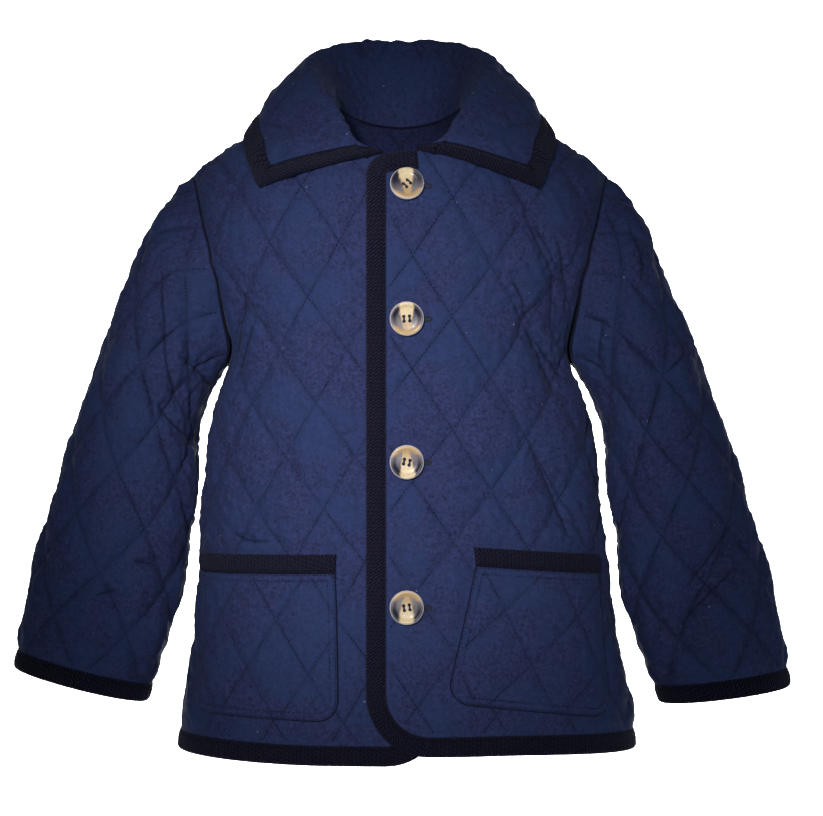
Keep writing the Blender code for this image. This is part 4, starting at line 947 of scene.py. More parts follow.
def triangles(outline, points):
    """Triangles over an outline, as indices into its points and then the free ones."""
    flat = np.concatenate([outline, points])
    count = len(outline)
    edges = [(i, (i + 1) % count) for i in range(count)]
    vectors = [Vector(point) for point in flat]
    _, _, faces, origins, _, _ = delaunay_2d_cdt(vectors, edges, [], 1, 1e-5)
    first = [origin[0] for origin in origins]
    return flat, np.array([[first[corner] for corner in face] for face in faces])


# ---------------------------------------------------------------- cloth as it is seen


def quilt_lines(piece, flat):
    """For both directions of quilting, the distance to the nearest line and the place along it."""
    counted = quilt_coordinates(piece, flat)
    _, steps = quilt_steps(piece)
    run = np.linalg.norm(steps[::-1], axis=1)
    spacing = abs(np.linalg.det(steps)) / run
    away = np.abs(counted - np.round(counted)) * spacing
    if piece == "collar":
        away = away + PLAIN_AWAY * (1 - ramp(flat[:, 1], *PLAIN_STAND))[:, None]
    return away, counted[:, ::-1] * run


def wadding(piece, flat, room):
    """Rise of the padded cloth: flat-topped diamonds, puckered along their stitches."""
    away, along = quilt_lines(piece, flat)
    fullness = (1 - np.exp(-away / SHOULDER_OF_DIAMOND)).prod(axis=1)
    near = np.exp(-away / PUCKER_REACH)
    pull = sum(np.sin(2 * np.pi * along / length + start) for length, start in PUCKERS) / len(PUCKERS)
    pucker = (near * pull).sum(axis=1) * PUCKER_RISE * (1 - np.exp(-away.min(axis=1)))
    fade = ramp(room, 0, SEAM_FADE)
    height = PUFF_SEEN.get(piece, PUFF) * fullness * (1 + BROAD_SHARE * BROAD(flat)) + pucker
    return (height + RUMPLE_RISE * RUMPLE(flat)) * fade


def nearest_on(points, loop):
    """Distance from each flat point to a closed outline, and the place round the outline."""
    start, step = loop, np.roll(loop, -1, axis=0) - loop
    length = np.linalg.norm(step, axis=1)
    run = np.concatenate([[0], np.cumsum(length)[:-1]])
    away, along = np.full(len(points), np.inf), np.zeros(len(points))
    for first, step_on, size, before in zip(start, step, length, run):
        share = np.clip(((points - first) @ step_on) / max(size**2, 1e-9), 0, 1)
        here = np.linalg.norm(points - first - share[:, None] * step_on, axis=1)
        closer = here < away
        away[closer] = here[closer]
        along[closer] = (before + share * size)[closer]
    return away, along


def add_piece(name, points, faces, look, nodes, attributes=None, flat=None, smooth_angle=60):
    """A visible piece from points in millimetres, which stands for the named nodes."""
    mesh = bpy.data.meshes.new(name)
    mesh.from_pydata((np.asarray(points) * MM).tolist(), [], [list(map(int, face)) for face in faces])
    for title, values in (attributes or {}).items():
        layer = mesh.attributes.new(title, "FLOAT_VECTOR", "POINT")
        layer.data.foreach_set("vector", np.asarray(values, np.float32).ravel())
    if flat is not None:
        layer = mesh.uv_layers.new(name="cloth")
        corners = np.empty(len(mesh.loops), np.int32)
        mesh.loops.foreach_get("vertex_index", corners)
        layer.data.foreach_set("uv", (np.asarray(flat)[corners] / UV_SPAN).astype(np.float32).ravel())
    form = bmesh.new()
    form.from_mesh(mesh)
    bmesh.ops.recalc_face_normals(form, faces=form.faces)
    if form.calc_volume(signed=True) < 0:
        bmesh.ops.reverse_faces(form, faces=form.faces)
    form.to_mesh(mesh)
    form.free()
    mesh.shade_smooth()
    mesh.set_sharp_from_angle(angle=math.radians(smooth_angle))
    mesh.materials.append(look)
    piece = bpy.data.objects.new(name, mesh)
    bpy.context.scene.collection.objects.link(piece)
    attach(piece, "root")
    if nodes:
        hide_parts(*nodes)
    return piece


def between_skins(outer, faces, inner, inner_faces, border):
    """Points and faces of a closed wall: two skins, and a rim between the points of their borders."""
    count = len(outer)
    points = np.concatenate([outer, inner])
    closed = [tuple(face) for face in faces]
    closed += [tuple(count + face[::-1]) for face in inner_faces]
    for index in range(border):
        after = (index + 1) % border
        closed.append((after, index, count + index))
        closed.append((after, count + index, count + after))
    return points, closed


class Form:
    """A form that cloth is laid on: its points, its outward normals and how far the cloth stands off it."""

    def __init__(self, piece, place, outward, lift=None, covered=lambda across: across > np.inf):
        self.piece = piece
        self.place = place
        self.outward = outward
        self.lift = lift
        self.covered = covered

    def laid(self, flat, rise):
        """Points a given rise over the cloth's own level, with the form's normals."""
        base = self.place(flat)
        normals = normals_on(self.place, flat) * self.outward
        total = rise + fold_rise(self.piece, base) - crease_at(self.piece, base)[0]
        if self.lift is not None:
            total = total + self.lift(flat)
        return base + normals * total[:, None], normals


def cloth_attributes(piece, form, flat, away, along):
    """What the cloth's material reads: distances to the stitch lines, places along them, and the strength of
    the creases' painted shade.
    """
    lines, runs = quilt_lines(piece, flat)
    crease = crease_at(form.piece, form.place(flat))[1]
    return {
        "away": np.stack([lines[:, 0], lines[:, 1], away], axis=1),
        "along": np.stack([runs[:, 0], runs[:, 1], along], axis=1),
        "crease": np.tile(crease[:, None], (1, 3)),
    }


def quilted_wall(form, outline, seams=None, patches=()):
    """A padded wall over an outline. seams moves points of its edge, or turns its rim, at a neighbour."""
    free = kept_inside(quilt_grid(form.piece, outline, OUTER_CUTS), outline, OUTER_CLEAR)
    flat, faces = triangles(outline, np.concatenate([free, crease_points(form, outline)]))
    away, along = nearest_on(flat, outline)
    room = away.copy()
    for patch in patches:
        room = np.minimum(room, np.where(inside(flat, patch), 0, distance_to(flat, patch)))
    for x, y in buttons_on(form.piece):
        from_button = np.hypot(flat[:, 0] - x, flat[:, 1] - y) - BUTTON_SEAT
        room = np.minimum(room, np.maximum(from_button, 0))
    room = np.where(form.covered(flat[:, 0]), 0, room)
    outer, normals = form.laid(flat, wadding(form.piece, flat, room))
    count = len(outline)
    rims = normals[:count].copy()
    for index, (point, rim) in (seams or {}).items():
        if point is not None:
            outer[index] = point
        rims[index] = rim
    plain = kept_inside(quilt_grid(form.piece, outline, INNER_CUTS), outline, INNER_CLEAR)
    inner_flat, inner_faces = triangles(outline, plain)
    inner_away, inner_along = nearest_on(inner_flat, outline)
    lines, _ = quilt_lines(form.piece, inner_flat)
    dimple = DIMPLE * np.exp(-lines.min(axis=1) / DIMPLE_REACH) * ramp(inner_away, 0, DIMPLE_CLEAR)
    inner, _ = form.laid(inner_flat, -WALL + dimple)
    inner[:count] = outer[:count] - rims * WALL
    points, closed = between_skins(outer, faces, inner, inner_faces, count)
    seen = cloth_attributes(form.piece, form, flat, away, along)
    hidden = cloth_attributes(form.piece, form, inner_flat, inner_away, inner_along)
    attributes = {title: np.concatenate([seen[title], hidden[title]]) for title in seen}
    piece = add_piece(
        f"cloth_{form.piece}", points, closed, CLOTH, [form.piece], attributes,
        np.concatenate([flat, inner_flat]),
    )


def pocket_wall(name, form, outline):
    """A patch pocket: flat and topstitched along its edge, padded inside, laid on its front."""
    free = kept_inside(quilt_grid(name, outline, OUTER_CUTS), outline, POCKET_CLEAR)
    flat, faces = triangles(outline, free)
    away, along = nearest_on(flat, outline)
    edge = POCKET_EDGE * np.sqrt(1 - (1 - np.clip(away / POCKET_ROUND, 0, 1)) ** 2)
    stitched = np.exp(-(((away - POCKET_STITCH) / POCKET_STITCH_WIDTH) ** 2))
    puff = wadding(name, flat, np.maximum(away - POCKET_STITCH, 0)) * POCKET_PUFF
    rise = POCKET_BASE + edge - POCKET_STITCH_DEPTH * stitched + puff
    top, normals = form.laid(flat, GAP + rise)
    bottom = top - normals * (rise - POCKET_BACK)[:, None]
    points, closed = between_skins(top, faces, bottom, faces, len(outline))
    seen = cloth_attributes(name, form, flat, away, along)
    attributes = {title: np.tile(values, (2, 1)) for title, values in seen.items()}
    piece = add_piece(
        f"cloth_{name}", points, closed, POCKET_CLOTH, [name], attributes,
        np.tile(flat, (2, 1)),
    )


def finer(path, vectors, step):
    """A path and its inward vectors at a closer step, each one between its two neighbours."""
    keys = lengths_along(path)
    count = max(int(round(keys[-1] / step)), 2)
    wanted = np.linspace(0, keys[-1], count + 1)
    both = np.concatenate([path, vectors], axis=1)
    both = np.stack([np.interp(wanted, keys, both[:, axis]) for axis in range(4)], axis=1)
    return both[:, :2], both[:, 2:], wanted


def ribbed(across, along, rise):
    """Uneven height of the brushed twill on the binding's upper face, and the phase of its ribs."""
    phase = (along * RIB_ALONG + across * RIB_ACROSS) / RIB_PITCH
    uneven = TWILL_UNEVEN * BINDING_WAVES(np.stack([across, along], axis=1))
    return uneven * ramp(rise, *TWILL_RISES), phase


def twill_piece(name, points, rings, across, along, phase):
    """A closed strip of twill from rings of points, its places across and along, and its length."""
    size = len(points) // rings
    closed = [tuple(range(size)), tuple(range(len(points) - 1, len(points) - 1 - size, -1))]
    for ring in range(rings - 1):
        for index in range(size):
            a, b = ring * size + index, ring * size + (index + 1) % size
            closed.append((b, a, a + size, b + size))
    attributes = {"strip": np.stack([across, along, phase], axis=1)}
    piece = add_piece(
        f"twill_{name}", points, closed, TWILL, [name], attributes,
        np.stack([across, along], axis=1), smooth_angle=75,
    )


def binding_strip(name, form, path, trim=None):
    """A folded binding along the edge of a piece, which lies to the left of the path."""
    path, turn_in, along = finer(path, inward(path), STRIP_STEP)
    from_edge, rise = np.array(BINDING_SECTION).T
    flat = (path[:, None] + turn_in[:, None] * from_edge[None, :, None]).reshape(-1, 2)
    if trim is not None:
        flat = trim(flat)
    across_all = np.tile(from_edge, len(path))
    along_all = np.repeat(along, len(from_edge))
    rise_all = np.tile(rise, len(path))
    ribs, phase = ribbed(across_all, along_all, rise_all)
    off_stitch = across_all - BINDING + STITCH_IN
    sunk = STITCH_SUNK * np.exp(-((off_stitch / STITCH_SUNK_WIDTH) ** 2)) * (rise_all > 0)
    points, _ = form.laid(flat, rise_all + ribs - sunk)
    twill_piece(name, points, len(path), across_all, along_all, phase)


# ---------------------------------------------------------------- fronts and back


def closing_across(up):
    return CLOSING - lean(np.minimum(up, CHEST))


def inside_sides(side):
    """Keeps flat points within the side seams."""

    def trim(flat):
        limit = side_arc(flat[:, 1], side) - GAP / 2
        return np.stack([np.clip(flat[:, 0], -limit, limit), flat[:, 1]], axis=1)

    return trim


def front_edge(hand, hem):
    """Edge of the front on the +X side of its own flat drawing: neck, front edge, lower corner and hem."""
    top = flat_at(0, NECK_FRONT_LOW, -1)[0, 1]
    neck_end = neck_path(NECK_FRONT, -1, EDGE_STEP)[-1]
    edge_top = hand * closing_across(top) - LAP
    low = hem + CORNER_RADIUS
    edge_low = hand * closing_across(low) - LAP
    start = np.array([neck_end, (edge_top + TOP_RADIUS, top)])
    top_corner = arc((edge_top + TOP_RADIUS, top - TOP_RADIUS), TOP_RADIUS, 90, 180)
    low_corner = arc((edge_low + CORNER_RADIUS, low), CORNER_RADIUS, 180, 270)
    heights = np.linspace(top - TOP_RADIUS, low, FRONT_EDGE_POINTS)
    run = np.stack([hand * closing_across(heights) - LAP, heights], axis=1)
    side = side_arc(HEM_SIDE, -1)[0] - GAP / 2
    along = np.linspace(edge_low + CORNER_RADIUS, side, FRONT_HEM_POINTS)
    heights = hem + (HEM_SIDE - hem) * ramp(along, FRONT_HEM_LEVEL, side)
    hem_run = np.stack([along, heights], axis=1)
    return joined(resample(start, EDGE_STEP), top_corner, run, low_corner, hem_run)


def shoulder_run(side):
    """Flat points between the ends of the shoulder seam, from the armhole to the neck."""
    x = np.linspace(armhole_end(), NECK_FRONT[0][0], SHOULDER_POINTS)[1:-1]
    return flat_at(x, shoulder_height(x), side)


def armhole_end():
    """Distance out of the shoulder point."""
    return out_at(0, ARMHOLE_FRONT[-1][1], -1)


def half_outline(side, inset, rows, neck_rows):
    """Outline from a hem inset up the side, round the armhole, along the shoulder and down the neck."""
    inset = inset[inset[:, 0] < side_arc(inset[:, 1], side) - EDGE_STEP / 2]
    side_up = np.linspace(HEM_SIDE + BINDING + GAP, rows[0][1], SIDE_POINTS)
    seam = np.stack([side_arc(side_up, side) - GAP / 2, side_up], axis=1)[:-1]
    hole = armhole(rows, side, 1)
    hole[0, 0] -= GAP / 2
    ridge = shoulder_run(side)
    neck = neck_path(neck_rows, side, EDGE_STEP)
    outline = joined(inset, seam, hole, ridge, neck)
    first = len(inset) + len(seam)
    last = first + len(hole) - 1
    return outline, np.arange(first, last + 1), np.arange(last, last + len(ridge) + 2)


def body_seams(side, hand, hole, ridge, rims):
    """Points and rims along an armhole, whose rims lean with the sleeve, and along a shoulder seam."""
    seams = {int(index): (None, rim) for index, rim in zip(hole, rims)}
    x = hand * np.linspace(armhole_end(), NECK_FRONT[0][0], len(ridge))
    points = np.stack([x, np.full(len(x), side * GAP / 2), shoulder_height(np.abs(x))], axis=1)
    for index, point, normal in zip(ridge, points, ridge_normal(x)):
        rim = seams[int(index)][1] if int(index) in seams else normal
        seams[int(index)] = (point, rim)
    return seams


def mirrored(points):
    """The same outline on the other hand, still counter-clockwise."""
    return (points * (-1, 1))[::-1]


def pocket_loops(row):
    """Outlines of a pocket and of its binding, counter-clockwise, as drawn on the +X side."""
    inner, inner_low, outer = (abs(value) for value in row[1:4])
    inner_top, outer_top, inner_bottom, outer_bottom = row[4:]
    radius = POCKET_RADIUS
    line = np.array([(outer, outer_top - POCKET_BINDING), (inner, inner_top - POCKET_BINDING)])
    line = resample(line, EDGE_STEP)
    inner_corner = arc((inner_low + radius, inner_bottom + radius), radius, 180, 270)
    outer_corner = arc((outer - radius, outer_bottom + radius), radius, 270, 360)
    base = resample(np.stack([inner_corner[-1], outer_corner[0]]), EDGE_STEP)
    outer_side = resample(np.stack([outer_corner[-1], line[0]]), EDGE_STEP)
    inner_side = resample(np.stack([line[-1], inner_corner[0]]), EDGE_STEP)
    pocket = joined(inner_corner, base, outer_corner, outer_side, line, inner_side)[:-1]
    crest = resample(np.array([(outer + 1, outer_top), (inner - 1, inner_top)]), EDGE_STEP)
    band = joined(line[::-1], crest)
    return pocket, band


def buttons_on(piece):
    """Flat places of the buttons on a panel."""
    if piece != "front_left":
        return []
    return [tuple(flat_at(CLOSING - lean(min(z, CHEST)), z, -1)[0]) for z in BUTTON_HEIGHTS]


def front_piece(hand):
    """A front with its pocket, the pocket's binding and the binding of its edge and hem."""
    wearer = "left" if hand > 0 else "right"
    name = f"front_{wearer}"
    hem = HEM_UPPER_FRONT if hand > 0 else HEM_LOWER_FRONT
    form = Form(name, on_body(-1), 1, lap_lift(hand), lambda across: hand * across < hand * COVERED[hand])
    edge = front_edge(hand, hem)
    inset = edge + inward(edge) * (BINDING + GAP)
    outline, hole, ridge = half_outline(-1, inset, ARMHOLE_FRONT, NECK_FRONT)
    row = next(row for row in POCKETS if row[0].endswith(wearer))
    pocket, band = pocket_loops(row)
    if hand < 0:
        hole, ridge = len(outline) - 1 - hole, len(outline) - 1 - ridge
        outline, edge, pocket, band = (mirrored(run) for run in (outline, edge, pocket, band))
    seams = body_seams(-1, hand, hole, ridge, ARMHOLES[hand].front_rims)
    quilted_wall(form, outline, seams, (pocket, band))
    pocket_wall(row[0], form, pocket)
    crest, foot = pocket_mouth(row)
    pocket_band(f"{row[0]}_binding", form, crest, foot, hand)
    end = 0 if hand > 0 else -1
    edge[end] += unit(edge[end + hand] - edge[end]) * GAP
    binding_strip(f"front_{wearer}_binding", form, edge, inside_sides(-1))


def pocket_mouth(row):
    """The crest of a pocket's binding and the line below it, from the inner end, as drawn on the +X side."""
    inner, _, outer = (abs(value) for value in row[1:4])
    inner_top, outer_top = row[4:6]
    crest = np.array([(inner - 1, inner_top), (outer + 1, outer_top)])
    foot = np.array([(inner, inner_top - POCKET_BINDING), (outer, outer_top - POCKET_BINDING)])
    return crest, foot


def pocket_band(name, form, crest, foot, hand):
    """The ribbed binding along a pocket's mouth."""
    stations = max(int(np.linalg.norm(crest[1] - crest[0]) / STRIP_STEP), 2)
    share = np.linspace(0, 1, stations + 1)[:, None]
    top, low = crest[0] * (1 - share) + crest[1] * share, foot[0] * (1 - share) + foot[1] * share
    section = np.array(BAND_SECTION)
    size = len(section)
    flat = top[:, None] * (1 - section[:, 0, None] / BINDING) + low[:, None] * section[:, 0, None] / BINDING
    flat = flat.reshape(-1, 2) * (hand, 1)
    ends = np.minimum(share, 1 - share) * np.linalg.norm(crest[1] - crest[0])
    across = np.tile(section[:, 0], stations + 1)
    along = np.repeat(share[:, 0], size) * stations * STRIP_STEP
    rise = np.tile(section[:, 1], stations + 1)
    rounding = np.repeat(np.sqrt(np.clip(ends[:, 0] / BAND_ROUND, BAND_END, 1)), size)
    ribs, phase = ribbed(across, along, rise)
    points, _ = form.laid(flat, GAP + rise * rounding + ribs)
    twill_piece(name, points, stations + 1, across, along, phase)


def back_piece():
    """The back, and the binding of its hem."""
    form = Form("back", on_body(1), -1)
    hem_end = side_arc(HEM_SIDE, 1)[0] - GAP / 2
    along = np.linspace(-hem_end, hem_end, BACK_HEM_POINTS)
    heights = HEM_BACK + (HEM_SIDE - HEM_BACK) * ramp(np.abs(along), BACK_HEM_LEVEL, hem_end)
    edge = np.stack([along, heights], axis=1)
    inset = edge + inward(edge) * (BINDING + GAP)
    middle = len(edge) // 2
    half, right, right_ridge = half_outline(1, inset[middle:], ARMHOLE_BACK, NECK_BACK)
    outline = np.concatenate([half, mirrored(half)[1:-1]])
    last = 2 * len(half) - 2
    seams = {}
    for hand, hole, ridge in ((1, right, right_ridge), (-1, last - right, last - right_ridge)):
        seams.update(body_seams(1, hand, hole, ridge, ARMHOLES[hand].back_rims))
    quilted_wall(form, outline, seams)
    binding_strip("back_binding", form, edge, inside_sides(1))


class Armhole:
    """The seam of a sleeve: the rims of both walls along it, and the sleeve's own points."""

    def __init__(self, hand, rows):
        points, normals, middle = armhole_points(hand)
        line, share = rails(rows, hand)
        _, lengths = line(share * np.pi)
        self.share, self.along = share, lengths[:, -1]
        place = on_sleeve(rows, hand)
        near = np.clip(share, 0.01, 1.99)
        across = half_girth(self.along) * (1 - near)
        below = np.stack([across, self.along - 3], axis=1)
        away = unit(place(below) - points)
        sleeve_normals = normals_on(place, below) * -hand
        rims = unit(normals + sleeve_normals)
        half_angle = np.clip((rims * normals).sum(axis=1), 0.8, 1)
        self.rims = rims / half_angle[:, None]
        for index in (0, middle, -1):
            self.rims[index, 1] = 0
        apart = unit(away - (away * rims).sum(axis=1)[:, None] * rims)
        self.points = points + GAP * apart
        tangent = unit(np.gradient(points, axis=0))
        self.points[0] += tangent[0] * GAP / 2
        self.points[-1] -= tangent[-1] * GAP / 2
        self.front_rims = self.rims[: middle + 1]
        self.back_rims = self.rims[middle:][::-1]


def sleeve_piece(hand):
    """A sleeve in one piece, its edges meeting at the underarm, and its cuff's binding."""
    wearer = "left" if hand > 0 else "right"
    rows = SLEEVES[hand]
    form = Form(f"sleeve_{wearer}", on_sleeve(rows, hand), -hand)
    seam = ARMHOLES[hand]
    start = BINDING + GAP
    cuff_half = float(half_girth(start)) - GAP / 2
    along_cuff = np.linspace(-cuff_half, cuff_half, CUFF_POINTS)
    cuff = np.stack([along_cuff, np.full(CUFF_POINTS, start)], axis=1)
    across = half_girth(seam.along) * (1 - seam.share)
    across[0] -= GAP / 2
    across[-1] += GAP / 2
    cap = np.stack([across, seam.along - GAP], axis=1)
    up = np.linspace(start, cap[0, 1], UNDERARM_POINTS)[1:-1]
    side = np.stack([half_girth(up) - GAP / 2, up], axis=1)
    other = (side * (-1, 1))[::-1]
    outline = np.concatenate([cuff, side, cap, other])
    first = len(cuff) + len(side)
    seams = {first + i: (seam.points[i], seam.rims[i]) for i in range(len(cap))}
    quilted_wall(form, outline, seams)
    edge_half = float(half_girth(0)) - GAP / 2
    along_edge = np.linspace(-edge_half, edge_half, CUFF_POINTS)
    edge = np.stack([along_edge, np.zeros(CUFF_POINTS)], axis=1)

    def within_girth(flat):
        limit = half_girth(flat[:, 1]) - GAP / 2
        return np.stack([flat[:, 0] * limit / edge_half, flat[:, 1]], axis=1)

    binding_strip(f"cuff_{wearer}_binding", form, edge, within_girth)


def collar_piece():
    """The collar from its neck seam over the roll to its edge, and the binding of its ends and edge."""
    form = Form("collar", on_collar(), 1)
    clear = BINDING + MITRE_CLEAR
    depth = float(collar_depth(COLLAR_HALF)[0])
    end = resample(np.array([(COLLAR_HALF, 0), (COLLAR_HALF, depth - clear)]), EDGE_STEP)
    along = np.linspace(COLLAR_HALF - clear, 0, COLLAR_EDGE_POINTS)
    outer = np.stack([along, collar_depth(along)], axis=1)
    half = joined(end, [(COLLAR_HALF, depth)], outer)
    edge = np.concatenate([half, mirrored(half)[1:]])
    inset = edge + inward(edge) * (BINDING + COLLAR_GAP)
    corners = inset[[len(end), -len(end) - 1]]
    away = np.linalg.norm(inset[:, None] - corners, axis=2).min(axis=1)
    inset = inset[(away == 0) | (away > EDGE_STEP / 2)]
    seam = resample(np.stack([inset[-1], inset[0]]), EDGE_STEP)[1:-1]
    outline = np.concatenate([inset, seam])
    outline[outline[:, 1] < 0.01, 1] = -NECK_TUCK
    quilted_wall(form, outline)
    binding_strip("collar_binding", form, edge)


# ---------------------------------------------------------------- buttons and buttonholes


def tube(name, centres, normals, radius, look, closed=False, sides=6, flatten=1.0):
    """A thread along a line, as a tube that lies on the surface with those normals."""
    if closed:
        ahead = unit(np.roll(centres, -1, axis=0) - np.roll(centres, 1, axis=0))
    else:
        ahead = unit(np.gradient(centres, axis=0))
    side = unit(np.cross(ahead, normals))
    up = np.cross(side, ahead)
    angles = np.linspace(0, 2 * np.pi, sides, endpoint=False)
    rings = centres[:, None] + radius * (
        side[:, None] * np.cos(angles)[None, :, None] + flatten * up[:, None] * np.sin(angles)[None, :, None]
    )
    count = len(centres)
    faces = []
    for station in range(count if closed else count - 1):
        here, after = station * sides, (station + 1) % count * sides
        for index in range(sides):
            turn = (index + 1) % sides
            faces.append((here + index, here + turn, after + turn, after + index))
    if not closed:
        faces.append(tuple(range(sides))[::-1])
        faces.append(tuple((count - 1) * sides + index for index in range(sides)))
    add_piece(name, rings.reshape(-1, 3), faces, look, [])


def button_mesh(name, hole_turn, streak_turn, number):
    """A turned button with a dished face, a raised rim and four holes, its back at the origin."""
    mesh = bpy.data.meshes.new(f"{name}_profile")
    points = [(x * MM, 0, z * MM) for x, z in BUTTON_PROFILE]
    mesh.from_pydata(points, [(i, i + 1) for i in range(len(points) - 1)], [])
    blank = bpy.data.objects.new(f"{name}_blank", mesh)
    bpy.context.scene.collection.objects.link(blank)
    turned = blank.modifiers.new("Screw", "SCREW")
    turned.steps = turned.render_steps = BUTTON_SIDES
    turned.use_merge_vertices = True
    turned.merge_threshold = 1e-5
    cutters = []
    for x, y in ((1, 1), (-1, 1), (-1, -1), (1, -1)):
        bpy.ops.mesh.primitive_cylinder_add(
            vertices=HOLE_SIDES, radius=HOLE_RADIUS * MM, depth=4 * BUTTON_THICKNESS * MM,
            location=(x * HOLE_OFFSET * MM, y * HOLE_OFFSET * MM * HOLE_SQUEEZE, 0),
        )
        cutters.append(bpy.context.object)
        hole = blank.modifiers.new("Hole", "BOOLEAN")
        hole.operation = "DIFFERENCE"
        hole.object = cutters[-1]
    bpy.context.view_layer.update()
    made = bpy.data.meshes.new_from_object(blank.evaluated_get(bpy.context.evaluated_depsgraph_get()))
    for helper in (blank, *cutters):
        bpy.data.objects.remove(helper, do_unlink=True)
    places = np.empty(len(made.vertices) * 3, np.float32)
    made.vertices.foreach_get("co", places)
    places = places.reshape(-1, 3) / MM
    turn = math.radians(hole_turn - streak_turn)
    x = places[:, 0] * math.cos(turn) - places[:, 1] * math.sin(turn)
    y = places[:, 0] * math.sin(turn) + places[:, 1] * math.cos(turn)
    layer = made.attributes.new("disc", "FLOAT_VECTOR", "POINT")
    disc = np.stack([x, y, places[:, 2] + BUTTON_APART * number], axis=1)
    layer.data.foreach_set("vector", disc.astype(np.float32).ravel())
    made.shade_smooth()
    made.set_sharp_from_angle(angle=math.radians(35))
    made.materials.clear()
    made.materials.append(HORN_LOOK)
    return made


def button_pieces():
    """The buttons on the upper front, the thread in their holes, and the buttonholes they come through."""
    form = Form("front_left", on_body(-1), 1, lap_lift(1))
    rows = zip(buttons_on("front_left"), BUTTON_TURNS, STREAK_TURNS)
    for number, ((x, y), turn, streak) in enumerate(rows, start=1):
        point, normal = form.laid(np.array([(x, y)]), np.array([BUTTON_GAP]))
        out = Vector(normal[0])
        right = Vector((0, 0, 1)).cross(out).normalized()
        upright = Matrix((right, out.cross(right), out)).transposed().to_4x4()
        turned = Matrix.Rotation(math.radians(turn), 4, "Z")
        place = Matrix.Translation(Vector(point[0]) * MM) @ upright @ turned
        mesh = button_mesh(f"button_{number}", turn, streak, number)
        mesh.transform(place)
        button = bpy.data.objects.new(f"horn_button_{number}", mesh)
        bpy.context.scene.collection.objects.link(button)
        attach(button, "root")
        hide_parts(f"button_{number}")
        for side in (-1, 1):
            run = np.linspace(-1, 1, THREAD_POINTS)
            across = np.full(THREAD_POINTS, side * HOLE_OFFSET)
            height = BUTTON_FLOOR + THREAD_RISE - THREAD_DROP * run**4
            local = np.stack([across, run * HOLE_OFFSET * HOLE_SQUEEZE, height], axis=1)
            line = np.array([place @ Vector(spot * MM) for spot in local]) / MM
            lift = np.tile(np.array(out), (THREAD_POINTS, 1))
            thread = f"button_thread_{number}_{'a' if side < 0 else 'b'}"
            tube(thread, line, lift, THREAD_RADIUS, THREAD, flatten=0.8)
        buttonhole(number, form, x, y)


def buttonhole(number, form, x, y):
    """A worked buttonhole: a ring of close stitches round a slit, mostly under the button."""
    half = HOLE_LENGTH / 2
    straight = np.linspace(-half, half, 40)
    right = arc((half, 0), HOLE_HALF_HEIGHT, -90, 90)
    left = arc((-half, 0), HOLE_HALF_HEIGHT, 90, 270)
    low = np.stack([straight, np.full(40, -HOLE_HALF_HEIGHT)], axis=1)
    ring = joined(low, right, -low, left)[:-1] + (x + HOLE_SHIFT, y)
    ring = finer(np.concatenate([ring, ring[:1]]), np.zeros((len(ring) + 1, 2)), HOLE_STEP)[0][:-1]
    centres, normals = form.laid(ring, np.full(len(ring), HOLE_RISE))
    beat = np.sin(2 * np.pi * np.arange(len(ring)) * HOLE_STEP / HOLE_STITCH)
    centres = centres + normals * (HOLE_BEAT * beat)[:, None]
    tube(f"buttonhole_{number}", centres, normals, HOLE_THREAD, THREAD, closed=True, sides=8, flatten=0.75)


# ---------------------------------------------------------------- materials


